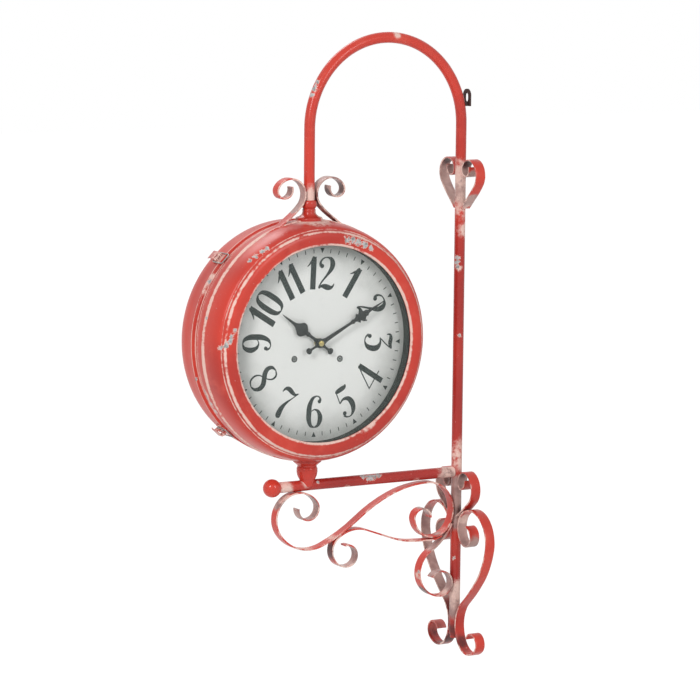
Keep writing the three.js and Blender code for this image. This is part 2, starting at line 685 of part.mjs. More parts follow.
// The cast ring that covers the drum's mouth: a lip, a convex face, a worn edge and a rim.
function bezel() {
  const inner = FACE_Y + BEZEL_THICKNESS;
  return turnRing([
    [OPENING_RADIUS, inner],
    [OPENING_RADIUS, FACE_Y + 1.5],
    [OPENING_RADIUS + 6, FACE_Y],
    [BEZEL_EDGE_RADIUS - 6, FACE_Y],
    [BEZEL_EDGE_RADIUS, FACE_Y + 2],
    [BEZEL_RIM_RADIUS, BEZEL_SEAT_Y],
    [BEZEL_RIM_RADIUS - BEZEL_RIM_WIDTH, BEZEL_SEAT_Y],
    [BEZEL_RIM_RADIUS - BEZEL_RIM_WIDTH - 1, inner],
  ], DRUM_SIDES);
}

// The wall of the recess between glass and dial, with a flange that the glass rests on.
function dialSpacer() {
  const inner = OPENING_RADIUS + 1;
  const front = GLASS_Y + GLASS_THICKNESS + GAP;
  const flangeBack = front + SPACER_WALL;
  return turnRing([
    [inner, front],
    [GLASS_RADIUS, front],
    [GLASS_RADIUS, flangeBack],
    [inner + SPACER_WALL, flangeBack],
    [inner + SPACER_WALL, DIAL_Y - GAP],
    [inner, DIAL_Y - GAP],
  ], DRUM_SIDES);
}

// A rod along Y through a point of the dial, given by its radius and clock angle.
function dialRod(radius, low, high, circle = 0, angle = 0) {
  const x = circle * Math.sin(rad(angle));
  const z = circle * Math.cos(rad(angle));
  return washer(0, radius, low, high, PIN_SIDES).translate(x, 0, z);
}

function dialPlate() {
  const disc = washer(0, DIAL_RADIUS, DIAL_Y, DIAL_Y + DIAL_THICKNESS, DRUM_SIDES);
  const low = DIAL_Y - 1;
  const high = DIAL_Y + DIAL_THICKNESS + 1;
  const windingHoles = WINDING_HOLE_ANGLES.map((angle) => (
    dialRod(WINDING_HOLE_RADIUS, low, high, WINDING_HOLE_CIRCLE, angle)
  ));
  return cut(disc, dialRod(BUSH_RADIUS + GAP, low, high), ...windingHoles);
}

// A quartz movement: a square case with a threaded bush, a battery bay and a knob hole.
function movement() {
  const half = MOVEMENT_SIZE / 2;
  const back = MOVEMENT_Y + MOVEMENT_DEPTH;
  const bay = BATTERY_RADIUS + GAP;
  const box = block([-half, MOVEMENT_Y, -half], [half, back, half]);
  const bush = washer(0, BUSH_RADIUS, BUSH_Y, MOVEMENT_Y + 1, PIN_SIDES);
  return cut(
    join(box, bush),
    dialRod(HOUR_TUBE_RADIUS + GAP, BUSH_Y - 1, MOVEMENT_Y + HOUR_TUBE_IN_MOVEMENT + GAP),
    dialRod(ARBOR_RADIUS + GAP, BUSH_Y - 1, MOVEMENT_Y + ARBOR_IN_MOVEMENT + GAP),
    dialRod(KNOB_STEM_RADIUS + GAP, back - KNOB_STEM_LENGTH - GAP, back + 1, KNOB_ABOVE_CENTRE),
    block(
      [-BATTERY_LENGTH / 2 - GAP, back - 2 * bay, -BATTERY_BELOW_CENTRE - bay],
      [BATTERY_LENGTH / 2 + GAP, back + 1, -BATTERY_BELOW_CENTRE + bay],
    ),
  );
}

function battery() {
  const centre = MOVEMENT_Y + MOVEMENT_DEPTH - BATTERY_RADIUS - GAP;
  return rodX(BATTERY_RADIUS, -BATTERY_LENGTH / 2, BATTERY_LENGTH / 2)
    .translate(0, centre, -BATTERY_BELOW_CENTRE);
}

function settingKnob() {
  const back = MOVEMENT_Y + MOVEMENT_DEPTH;
  return turn([
    [0, back - KNOB_STEM_LENGTH],
    [KNOB_STEM_RADIUS, back - KNOB_STEM_LENGTH],
    [KNOB_STEM_RADIUS, back + GAP],
    [KNOB_RADIUS, back + GAP],
    [KNOB_RADIUS, back + GAP + KNOB_HEIGHT],
    [0, back + GAP + KNOB_HEIGHT],
  ], PIN_SIDES).translate(0, 0, KNOB_ABOVE_CENTRE);
}

// Half of a hand's outline runs from tail to tip, the other half mirrors it back.
function handOutline(halfPoints) {
  const side = new THREE.SplineCurve(halfPoints.map(([x, z]) => new THREE.Vector2(x, z)));
  const right = side.getPoints(halfPoints.length - 1);
  const left = right.slice(1, -1).reverse().map((point) => new THREE.Vector2(-point.x, point.y));
  return new THREE.Shape([...right, ...left]);
}

function hand(outline, frontY, bore) {
  const plate = new THREE.ExtrudeGeometry(outline, { depth: HAND_THICKNESS, bevelEnabled: false });
  return cut(
    plate.rotateX(Math.PI / 2).translate(0, frontY + HAND_THICKNESS, 0),
    dialRod(bore, frontY - 1, frontY + HAND_THICKNESS + 1),
  );
}

// The hour hand swells to a spade, the minute hand to a leaf. Each has a round weight on its tail.
function hourHand() {
  const outline = handOutline([
    [0, -31.5], [4, -30], [5.5, -26], [4, -22], [2, -19], [2.2, -12], [8, -3], [8, 3], [2.6, 17],
    [2.6, 26], [10, 36], [12.5, 43], [11, 50], [4, 58], [2.2, 66], [1.8, 78], [0, HOUR_HAND_LENGTH],
  ]);
  return hand(outline, HOUR_HAND_Y - HAND_THICKNESS, HOUR_TUBE_RADIUS + GAP);
}

function minuteHand() {
  const outline = handOutline([
    [0, -31.5], [4, -30], [5.5, -26], [4, -22], [2, -19], [2.2, -12], [7.5, -3], [7.5, 3], [4, 12],
    [2.8, 40], [2.4, 72], [4.5, 82], [9, 90], [7, 100], [2, 110], [1.6, 126], [0, MINUTE_HAND_LENGTH],
  ]);
  return hand(outline, MINUTE_HAND_Y - HAND_THICKNESS, ARBOR_RADIUS + GAP);
}

function handNut() {
  const front = HAND_NUT_Y - HAND_NUT_HEIGHT;
  const boreEnd = HAND_NUT_Y - HAND_NUT_HEIGHT / 2 - GAP;
  return turn([
    [0, front],
    [HAND_NUT_RADIUS - 1, front],
    [HAND_NUT_RADIUS, front + 1],
    [HAND_NUT_RADIUS, HAND_NUT_Y],
    [ARBOR_RADIUS + GAP, HAND_NUT_Y],
    [ARBOR_RADIUS + GAP, boreEnd],
    [0, boreEnd],
  ], PIN_SIDES);
}

// Everything in one mouth of the drum, made for the front. The rear's group is turned round.
function dialSide(side) {
  const group = new THREE.Group();
  const gasketY = FACE_Y + BEZEL_THICKNESS + GAP;
  const arborFront = HAND_NUT_Y - HAND_NUT_HEIGHT / 2;
  const boreEnd = MOVEMENT_Y + ARBOR_IN_MOVEMENT;
  const tubeEnd = MOVEMENT_Y + HOUR_TUBE_IN_MOVEMENT;
  piece(group, `${side}_bezel`, bezel(), RED_PAINT);
  piece(
    group,
    `${side}_gasket`,
    washer(OPENING_RADIUS + 1, GLASS_RADIUS, gasketY, gasketY + GASKET_THICKNESS, DRUM_SIDES),
    RUBBER,
  );
  piece(
    group,
    `${side}_glass`,
    washer(0, GLASS_RADIUS, GLASS_Y, GLASS_Y + GLASS_THICKNESS, DRUM_SIDES),
    CLEAR_GLASS,
  );
  piece(group, `${side}_dial_spacer`, dialSpacer(), HAND_BLACK);
  piece(group, `${side}_dial`, dialPlate(), DIAL_WHITE);
  piece(group, `${side}_movement`, movement(), BLACK_PLASTIC);
  piece(
    group,
    `${side}_movement_nut`,
    washer(BUSH_RADIUS + GAP, BUSH_NUT_RADIUS, DIAL_Y - GAP - BUSH_NUT_HEIGHT, DIAL_Y - GAP, PIN_SIDES),
    BRASS,
  );
  piece(group, `${side}_battery`, battery(), CELL_WRAP);
  piece(group, `${side}_setting_knob`, settingKnob(), BLACK_PLASTIC);
  piece(
    group,
    `${side}_hour_tube`,
    washer(ARBOR_RADIUS + GAP, HOUR_TUBE_RADIUS, HOUR_HAND_Y - HAND_THICKNESS, tubeEnd, PIN_SIDES),
    BRASS,
  );
  piece(group, `${side}_minute_arbor`, dialRod(ARBOR_RADIUS, arborFront, boreEnd), STEEL);
  piece(group, `${side}_hand_nut`, handNut(), BRASS);
  piece(group, `${side}_hour_hand`, hourHand(), HAND_BLACK).rotation.y = rad(HOUR_HAND_ANGLE);
  piece(group, `${side}_minute_hand`, minuteHand(), HAND_BLACK).rotation.y = rad(MINUTE_HAND_ANGLE);
  return group;
}

const frontSide = dialSide('front');
const rearSide = dialSide('rear');
rearSide.rotation.z = Math.PI;
rearSide.position.y = REAR_SHIFT;
drum.add(frontSide, rearSide);

// ---------------------------------------------------------------- hinge

const MIDDLE_KNUCKLE = HINGE_MIDDLE / 2;
const HINGE_HALF = HINGE_HEIGHT / 2;

function knuckle(radius, low, high) {
  return rodZ(radius, low, high, PIN_SIDES).translate(HINGE_X, LEG_TO_SEAM, 0);
}

// A leaf is cut to the shell it is riveted to and cleared for the other leaf's knuckles.
function hingeLeaf(plate, space, own, others) {
  const trimmed = cut(plate, space, ...others.map(([low, high]) => knuckle(KNUCKLE_RADIUS + GAP, low, high)));
  const knuckles = own.map(([low, high]) => knuckle(KNUCKLE_RADIUS, low, high));
  return cut(join(trimmed, ...knuckles), knuckle(HINGE_PIN_RADIUS + GAP, -HINGE_HEIGHT, HINGE_HEIGHT));
}

function frontLeaf() {
  const plate = block(
    [INNER_RADIUS, FRONT_SEAM_Y - FRONT_LEAF_LENGTH, -HINGE_HALF],
    [RIDGE_RADIUS + LEAF_THICKNESS, FRONT_SEAM_Y, HINGE_HALF],
  );
  const own = [[-MIDDLE_KNUCKLE, MIDDLE_KNUCKLE]];
  const others = [
    [-HINGE_HALF - GAP, -MIDDLE_KNUCKLE - GAP],
    [MIDDLE_KNUCKLE + GAP, HINGE_HALF + GAP],
  ];
  return hingeLeaf(plate, frontSpace, own, others);
}

function rearLeaf() {
  const plate = block(
    [INNER_RADIUS, REAR_SEAM_Y, -HINGE_HALF],
    [BEAD_TOP_RADIUS + LEAF_THICKNESS, REAR_SEAM_Y + REAR_LEAF_LENGTH, HINGE_HALF],
  );
  const own = [
    [-HINGE_HALF, -MIDDLE_KNUCKLE - GAP],
    [MIDDLE_KNUCKLE + GAP, HINGE_HALF],
  ];
  return hingeLeaf(plate, rearSpace, own, [[-MIDDLE_KNUCKLE - GAP, MIDDLE_KNUCKLE + GAP]]);
}

function hingePin() {
  const shank = knuckle(HINGE_PIN_RADIUS, -HINGE_HALF, HINGE_HALF + GAP + 0.5);
  return join(shank, knuckle(HINGE_PIN_RADIUS + 1.5, HINGE_HALF + GAP, HINGE_HALF + GAP + 2));
}

piece(drum, 'hinge_leaf_front', frontLeaf(), RED_PAINT);
piece(drum, 'hinge_leaf_rear', rearLeaf(), RED_PAINT);
piece(drum, 'hinge_pin', hingePin(), STEEL);

// ---------------------------------------------------------------- toggle latches

// In a latch's own frame X runs round the drum, Y along it and Z out from its axis.
const PIVOT_Y = LEG_TO_SEAM + LATCH_PIVOT_TO_SEAM;
const PIVOT_Z = BODY_RADIUS + LATCH_PIVOT_HEIGHT;
const LOOP_PIVOT_Y = PIVOT_Y + LOOP_PIVOT_BEHIND;
const LOOP_PIVOT_Z = PIVOT_Z - LOOP_PIVOT_BELOW;
const CHEEK_INNER = LATCH_EAR_SPREAD + LATCH_EAR_THICKNESS + LATCH_SIDE_GAP;
const CHEEK_OUTER = CHEEK_INNER + LEVER_CHEEK_THICKNESS;
const LOOP_SIDE = CHEEK_OUTER + LATCH_SIDE_GAP + LOOP_WIRE_RADIUS + GAP;
const LOOP_BAR_Y = LEG_TO_SEAM - LOOP_BAR_TO_SEAM;

// Extrudes a side view, drawn in Y and Z, along X between two places.
function sideView(outline, low, high) {
  const solid = new THREE.ExtrudeGeometry(outline, {
    depth: high - low, bevelEnabled: false, curveSegments: 4,
  });
  return solid.rotateX(Math.PI / 2).rotateZ(Math.PI / 2).translate(low, 0, 0);
}

// The latch's footplate is shaped to the rear shell, its ears carry the lever's pin.
function latchBase(space) {
  const foot = BODY_RADIUS - 4;
  const footY = REAR_SEAM_Y + REAR_BEAD_TO_SEAM + BEAD_WIDTH / 2 + GAP;
  const footTop = BODY_RADIUS + LATCH_BASE_THICKNESS;
  const half = LATCH_BASE_WIDTH / 2;
  const earOutline = new THREE.Shape();
  earOutline.moveTo(PIVOT_Y - LATCH_EAR_RADIUS, foot);
  earOutline.lineTo(PIVOT_Y + LATCH_EAR_RADIUS, foot);
  earOutline.absarc(PIVOT_Y, PIVOT_Z, LATCH_EAR_RADIUS, 0, Math.PI, false);
  const outer = LATCH_EAR_SPREAD + LATCH_EAR_THICKNESS;
  const whole = join(
    block([-half, footY, foot], [half, footY + LATCH_BASE_LENGTH, footTop]),
    sideView(earOutline, LATCH_EAR_SPREAD, outer),
    sideView(earOutline, -outer, -LATCH_EAR_SPREAD),
    rodX(LATCH_PIN_RADIUS, -CHEEK_OUTER, CHEEK_OUTER, WIRE_SIDES).translate(0, PIVOT_Y, PIVOT_Z),
  );
  return cut(whole, space);
}

// A channel-shaped lever: two cheeks that hang on the pin, joined by the finger plate.
function latchLever() {
  const reach = PIVOT_Y + LEVER_LENGTH;
  const plateFoot = PIVOT_Z + LATCH_EAR_RADIUS + GAP;
  const plate = new THREE.Shape();
  plate.moveTo(PIVOT_Y + 2, plateFoot);
  plate.lineTo(reach - 8, plateFoot);
  plate.lineTo(reach, plateFoot - 2.5);
  plate.lineTo(reach, plateFoot - 1);
  plate.lineTo(reach - 7, plateFoot + LEVER_PLATE);
  plate.lineTo(PIVOT_Y + 2, plateFoot + LEVER_PLATE);
  const cheek = new THREE.Shape();
  cheek.absarc(PIVOT_Y, PIVOT_Z, LATCH_EAR_RADIUS, Math.PI / 2, 1.5 * Math.PI, false);
  cheek.lineTo(LOOP_PIVOT_Y + 3, PIVOT_Z - LATCH_EAR_RADIUS);
  cheek.lineTo(LOOP_PIVOT_Y + 7, plateFoot + 0.5);
  cheek.lineTo(PIVOT_Y + 3, plateFoot + 0.5);
  const body = join(
    sideView(plate, -CHEEK_OUTER, CHEEK_OUTER),
    sideView(cheek, CHEEK_INNER, CHEEK_OUTER),
    sideView(cheek, -CHEEK_OUTER, -CHEEK_INNER),
  );
  const across = CHEEK_OUTER + 1;
  return cut(
    body,
    rodX(LATCH_PIN_RADIUS + GAP, -across, across, WIRE_SIDES).translate(0, PIVOT_Y, PIVOT_Z),
    rodX(LOOP_WIRE_RADIUS + GAP, -across, across, WIRE_SIDES).translate(0, LOOP_PIVOT_Y, LOOP_PIVOT_Z),
  );
}

// The wire loop: two legs beside the lever, a bar over the catch, ends turned into the lever.
function latchLoop() {
  const corner = 2.5;
  const leg = LOOP_PIVOT_Y - LOOP_BAR_Y - 2 * corner;
  const end = LOOP_SIDE - corner - CHEEK_INNER;
  const path = new BentPath([-CHEEK_INNER, LOOP_PIVOT_Y], 180, [
    run(end), arc(corner, 90), run(leg), arc(corner, 90), run(2 * (LOOP_SIDE - corner)),
    arc(corner, 90), run(leg), arc(corner, 90), run(end),
  ], 45);
  return sweep(path, roundOutline(LOOP_WIRE_RADIUS), WIRE_SIDES / 2).translate(0, 0, LOOP_PIVOT_Z);
}

// The catch's lip stands behind the loop's bar and stops just under it.
function latchCatch(space) {
  const half = CATCH_WIDTH / 2;
  const rear = FRONT_SEAM_Y - 1.5;
  const lip = LOOP_BAR_Y + LOOP_WIRE_RADIUS + GAP;
  const whole = join(
    block([-half, rear - CATCH_LENGTH, BODY_RADIUS - 4], [half, rear, BODY_RADIUS + 2]),
    block(
      [-half, lip, BODY_RADIUS],
      [half, lip + CATCH_LIP, LOOP_PIVOT_Z - LOOP_WIRE_RADIUS - GAP],
    ),
  );
  return cut(whole, space);
}

for (const [name, degrees] of Object.entries(LATCH_ANGLES)) {
  const latch = new THREE.Group();
  latch.rotation.y = rad(degrees);
  piece(latch, `${name}_latch_base`, latchBase(rearSpace.clone().rotateY(-rad(degrees))), WORN_PAINT);
  piece(latch, `${name}_latch_catch`, latchCatch(frontSpace.clone().rotateY(-rad(degrees))), WORN_PAINT);
  piece(latch, `${name}_latch_lever`, latchLever(), WORN_PAINT);
  piece(latch, `${name}_latch_loop`, latchLoop(), STEEL);
  drum.add(latch);
}

// ---------------------------------------------------------------- the whole clock

const clock = new THREE.Group();
clock.add(hanger, drum);

export default clock;
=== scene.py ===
from math import ceil, cos, pi, radians, sin

import bmesh
import bpy
from mathutils import Matrix, Vector
from mathutils.geometry import interpolate_bezier


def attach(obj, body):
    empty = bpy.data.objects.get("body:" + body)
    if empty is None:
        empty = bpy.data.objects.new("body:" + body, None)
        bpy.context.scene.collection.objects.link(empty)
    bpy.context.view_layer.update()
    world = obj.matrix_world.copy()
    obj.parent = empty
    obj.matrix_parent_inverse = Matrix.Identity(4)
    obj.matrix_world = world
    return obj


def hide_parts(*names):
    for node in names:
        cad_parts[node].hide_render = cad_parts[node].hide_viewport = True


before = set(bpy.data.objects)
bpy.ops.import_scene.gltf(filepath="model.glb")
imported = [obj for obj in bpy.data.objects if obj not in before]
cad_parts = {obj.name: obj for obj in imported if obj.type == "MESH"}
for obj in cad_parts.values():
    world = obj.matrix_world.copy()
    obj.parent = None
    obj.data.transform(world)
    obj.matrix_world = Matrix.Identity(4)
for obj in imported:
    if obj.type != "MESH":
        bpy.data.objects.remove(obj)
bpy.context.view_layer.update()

# ---- hanger tube ----
# A 19 mm steel tube bent into leg, round arch and long post, spray-painted coral red. The
# paint is rubbed to pink where the scrolls are welded on, and knocked off to the metal in
# a few spots. Painted shade turns the post a deeper red down its length, and maroon
# painted shadow darkens it beside the scrolls.

TUBE_RADIUS = 9.5
TUBE_WALL = 1.5
OPEN_END_DEPTH = 6
LEG_TO_POST = 305
ARM_TO_ARCH = 620
ARM_TO_POST_END = 295
ARM_TO_LEG_END = 480
ARCH_RADIUS = LEG_TO_POST / 2
POST_X = -12.8
ARM_Z = -665
MM = 0.001


def shade(red, green, blue):
    """An sRGB colour of 0 to 255 as the linear colour that a socket takes."""
    levels = [level / 255 for level in (red, green, blue)]
    linear = [((v + 0.055) / 1.055) ** 2.4 if v > 0.04 else v / 12.92 for v in levels]
    return (*linear, 1)


class Recipe:
    """A finish that is put together node by node around one Principled shader."""

    def __init__(self, name, **surface):
        self.material = bpy.data.materials.new(name)
        self.material.use_nodes = True
        self.tree = self.material.node_tree
        self.shader = self.tree.nodes["Principled BSDF"]
        for socket, value in surface.items():
            self.shader.inputs[socket.replace("_", " ")].default_value = value
        self.place = self.add("ShaderNodeTexCoord").outputs["Object"]

    def add(self, kind, inputs=(), **settings):
        """A node with its settings, and its inputs as (socket, link or value) pairs."""
        node = self.tree.nodes.new(kind)
        for setting, value in settings.items():
            setattr(node, setting, value)
        for socket, value in inputs:
            if isinstance(value, bpy.types.NodeSocket):
                self.tree.links.new(value, node.inputs[socket])
            else:
                node.inputs[socket].default_value = value
        return node

    def noise(self, scale, detail=4, roughness=0.55, place=None):
        inputs = [("Vector", place or self.place), ("Scale", scale)]
        inputs += [("Detail", detail), ("Roughness", roughness)]
        return self.add("ShaderNodeTexNoise", inputs).outputs["Fac"]

    def math(self, operation, first, second):
        return self.add("ShaderNodeMath", [(0, first), (1, second)], operation=operation).outputs[0]

    def vector(self, operation, *values):
        return self.add("ShaderNodeVectorMath", enumerate(values), operation=operation)

    def step(self, value, low, high, start=0.0, end=1.0):
        """Rises smoothly from start to end while value goes from low to high."""
        inputs = [("Value", value), ("From Min", low), ("From Max", high)]
        inputs += [("To Min", start), ("To Max", end)]
        smooth = self.add("ShaderNodeMapRange", inputs, interpolation_type="SMOOTHSTEP")
        return smooth.outputs["Result"]

    def blend(self, share, first, second):
        inputs = [(0, share), (6, first), (7, second)]
        return self.add("ShaderNodeMix", inputs, data_type="RGBA").outputs[2]

    def near(self, place, spots):
        """One at the middle of the nearest (x, y, z, reach) spot, nought past its reach."""
        nearest = 0.0
        for x, y, z, reach in spots:
            apart = self.vector("DISTANCE", place, Vector((x, y, z)) * MM).outputs["Value"]
            share = self.step(apart, 0.0, reach * MM, 1.0, 0.0)
            nearest = self.math("MAXIMUM", nearest, share)
        return nearest

    def sided(self, spots):
        """As near, with a fifth entry: 1 or -1 for a strip's left or right face, or 0 for both."""
        share = 0.0
        face = self.add("ShaderNodeAttribute", attribute_name="left_face").outputs["Fac"]
        for side in (-1, 0, 1):
            group = [spot[:4] for spot in spots if spot[4] == side]
            if not group:
                continue
            patch = self.near(self.place, group)
            if side:
                turned_to = self.step(self.math("MULTIPLY", face, side), -0.1, 0.4)
                patch = self.math("MULTIPLY", patch, turned_to)
            share = self.math("MAXIMUM", share, patch)
        return share

    def round_drum(self):
        """The distance from the drum's axis, and the place along it."""
        local = self.vector("SUBTRACT", self.place, DRUM_PLACE).outputs[0]
        flat = self.vector("MULTIPLY", local, (1, 0, 1)).outputs[0]
        along = self.add("ShaderNodeSeparateXYZ", [(0, local)]).outputs["Y"]
        return self.vector("LENGTH", flat).outputs["Value"], along

    def rough(self, value, low, high):
        """A roughness between low and high that follows a noise."""
        self.link("Roughness", self.step(value, 0.3, 0.7, low, high))

    def bump(self, height, strength, distance):
        inputs = [("Height", height), ("Strength", strength), ("Distance", distance)]
        self.link("Normal", self.add("ShaderNodeBump", inputs).outputs["Normal"])

    def link(self, socket, value):
        self.tree.links.new(value, self.shader.inputs[socket])


DRUM_PLACE = Vector((-0.3178, 0, -0.411))
CORAL = shade(208, 64, 50)
DEEP_RED = shade(160, 42, 38)
LIGHT_CORAL = shade(220, 92, 76)
ROSE = shade(200, 124, 118)
PRIMER = shade(190, 160, 152)
# A darker copy of the primer, which is painted shade.
SHADED_PRIMER = shade(146, 116, 112)
CREAM = shade(240, 208, 196)
# The maroon is painted shadow for strips in shade.
SHADOW_MAROON = shade(74, 36, 36)
BARE_METAL = shade(188, 190, 190)
DULL_METAL = shade(128, 130, 130)


def paint(name, edge=None, rings=(), rubs=(), chips=(), primer=(), dark=(), deep=(),
          dust=0.2, gloss=0.3):
    """Coral paint over a greyish pink primer over steel. It is rubbed to cream along the
    edge, which is (axis, middle, half width), along rings round the drum and at rubs, and
    chipped to metal; the cream along edge and rings also paints the sheen those lines catch.
    Primer shows at the primer spots, mixed with a darker copy of it as painted shade, maroon
    painted shadow fills the dark spots, and painted shade turns the coat a deeper red round
    the deep spots."""
    coat = Recipe(name, Specular_IOR_Level=0.34)
    broad = coat.noise(6, 2)
    cloud = coat.noise(24, 4)
    grain = coat.noise(150, 5, 0.65)
    ragged = coat.math("SUBTRACT", coat.math("ADD", cloud, grain), 1.0)

    def frayed(share, low, high, most=1.0, fray=1.0):
        """A patch whose border is broken up by the coat's own grain."""
        torn = coat.math("MULTIPLY", coat.math("MULTIPLY", ragged, fray), share)
        return coat.step(coat.math("ADD", share, torn), low, high, 0.0, most)

    colour = coat.blend(coat.step(broad, 0.42, 0.66, 0.0, 0.5), CORAL, DEEP_RED)
    colour = coat.blend(coat.step(cloud, 0.5, 0.72, 0.0, 0.4), colour, LIGHT_CORAL)
    dusty = coat.math("ADD", coat.noise(13, 3), dust - 0.5)
    colour = coat.blend(coat.step(dusty, 0.35, 0.62, 0.0, 0.85), colour, ROSE)
    # Painted shade: round the deep spots the coat darkens to a deeper red where the tube lies in
    # shade.
    if deep:
        shaded = coat.math("MULTIPLY", coat.near(coat.place, deep), 0.85)
        colour = coat.blend(shaded, colour, DEEP_RED)
    if primer:
        # The primer is mixed by noise with a darker copy of itself, which is painted shade.
        undercoat = coat.blend(coat.step(coat.noise(30, 3), 0.4, 0.68), PRIMER, SHADED_PRIMER)
        colour = coat.blend(frayed(coat.sided(primer), 0.12, 0.5, 0.94), colour, undercoat)
    # Maroon painted shadow at the dark spots, where the post, the leg or a curl shades a strip.
    if dark:
        colour = coat.blend(frayed(coat.sided(dark), 0.08, 0.8, 0.95), colour, SHADOW_MAROON)
    # Cream where the paint is rubbed; along the edge and round the drum's rings the same cream is
    # also painted sheen on the raised lines.
    wear_and_sheen = coat.near(coat.place, rubs)
    if edge:
        axis, middle, half = edge
        split = coat.add("ShaderNodeSeparateXYZ", [(0, coat.place)])
        out = coat.math("ABSOLUTE", coat.math("SUBTRACT", split.outputs[axis], middle * MM), 0)
        patchy = coat.step(coat.noise(45, 3), 0.4, 0.62, 0.3, 0.85)
        rim = coat.step(out, (half - 1.6) * MM, (half - 0.1) * MM)
        wear_and_sheen = coat.math("MAXIMUM", wear_and_sheen, coat.math("MULTIPLY", rim, patchy))
    if rings:
        radius, along = coat.round_drum()
        section = coat.add("ShaderNodeCombineXYZ", [("X", radius), ("Y", along)]).outputs[0]
        spots = [(ring, y, 0, reach) for ring, y, reach in rings]
        wear_and_sheen = coat.math("MAXIMUM", wear_and_sheen, coat.near(section, spots))
    rubbed_and_sheen = frayed(wear_and_sheen, 0.22, 0.95, fray=2.6)
    colour = coat.blend(coat.math("MULTIPLY", rubbed_and_sheen, 0.9), colour, CREAM)
    shreds = coat.math("MULTIPLY", coat.math("SUBTRACT", coat.noise(210, 4, 0.7), 0.5), 2.6)
    flaked = coat.math("ADD", coat.near(coat.place, chips), shreds)
    specks = coat.step(coat.noise(120, 3, 0.6), 0.72, 0.735, 0.0, 0.6)
    colour = coat.blend(coat.step(flaked, 0.5, 0.6, 0.0, 0.8), colour, CREAM)
    flaked = coat.math("MAXIMUM", coat.step(flaked, 0.66, 0.72), specks)
    steel = coat.blend(coat.step(grain, 0.45, 0.62), BARE_METAL, DULL_METAL)
    colour = coat.blend(flaked, colour, steel)
    coat.link("Base Color", colour)
    matt = coat.step(rubbed_and_sheen, 0.0, 1.0, gloss - 0.06, 0.58)
    coat.link("Roughness", coat.math("ADD", matt, coat.math("MULTIPLY", cloud, 0.12)))
    relief = coat.math("MULTIPLY", grain, 0.3)
    for layer, depth in ((flaked, 0.9), (rubbed_and_sheen, 0.3)):
        relief = coat.math("SUBTRACT", relief, coat.math("MULTIPLY", layer, depth))
    coat.bump(relief, 0.3, 0.0006)
    return coat.material


def bent(outline, start, heading, bends, step=5):
    """Pulls a closed outline along (radius, degrees) arcs and (length, 0) straight runs."""
    mesh = bmesh.new()
    left_face = mesh.verts.layers.float.new("left_face")
    corners = [mesh.verts.new((0, across, up)) for across, up in outline]
    for corner, (across, _) in zip(corners, outline):
        corner[left_face] = across / max(across for across, _ in outline)
    ring = [mesh.edges.new(pair) for pair in zip(corners, corners[1:] + corners[:1])]
    bmesh.ops.rotate(mesh, verts=corners, matrix=Matrix.Rotation(radians(heading), 3, "Z"))
    bmesh.ops.translate(mesh, verts=corners, vec=(*start, 0))
    place = Vector((*start, 0))
    facing = radians(heading)
    for size, degrees in bends:
        if degrees == 0:
            travel = Vector((cos(facing), sin(facing), 0)) * size
            pulled = bmesh.ops.extrude_edge_only(mesh, edges=ring)["geom"]
            ends = [g for g in pulled if isinstance(g, bmesh.types.BMVert)]
            bmesh.ops.translate(mesh, verts=ends, vec=travel)
            place += travel
            ring = [g for g in pulled if isinstance(g, bmesh.types.BMEdge)]
            ring = [e for e in ring if e.verts[0] in ends and e.verts[1] in ends]
            continue
        side = 1 if degrees > 0 else -1
        centre = place + Vector((-sin(facing), cos(facing), 0)) * size * side
        turned_ring = bmesh.ops.spin(
            mesh, geom=[*ring, *{v for e in ring for v in e.verts}], cent=centre, axis=(0, 0, 1),
            angle=radians(degrees), steps=max(1, ceil(abs(degrees) / step)), use_duplicate=False)
        ring = [g for g in turned_ring["geom_last"] if isinstance(g, bmesh.types.BMEdge)]
        place = centre + Matrix.Rotation(radians(degrees), 3, "Z") @ (place - centre)
        facing += radians(degrees)
    bmesh.ops.holes_fill(mesh, edges=[e for e in mesh.edges if e.is_boundary], sides=0)
    return mesh


def shown(name, data):
    """A new object in the scene for a mesh, lamp or camera."""
    thing = bpy.data.objects.new(name, data)
    bpy.context.scene.collection.objects.link(thing)
    return thing


def finished(mesh, node, body, finish, place=Matrix(), crease=32, stands_for=None):
    """Puts a mesh drawn in mm at its place in the clock, on its body, in place of its node."""
    bmesh.ops.transform(mesh, matrix=Matrix.Scale(MM, 4) @ place, verts=mesh.verts)
    bmesh.ops.recalc_face_normals(mesh, faces=mesh.faces)
    data = bpy.data.meshes.new(node + "_finished")
    mesh.to_mesh(data)
    mesh.free()
    data.shade_smooth()
    data.set_sharp_from_angle(angle=radians(crease))
    data.materials.append(finish)
    piece = shown(node + "_finished", data)
    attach(piece, body)
    if stands_for is None:
        stands_for = [node]
    if stands_for:
        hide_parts(*stands_for)
    return piece


def round_outline(radius, sides=28):
    turns = [2 * pi * i / sides for i in range(sides)]
    return [(radius * cos(turn), radius * sin(turn)) for turn in turns]


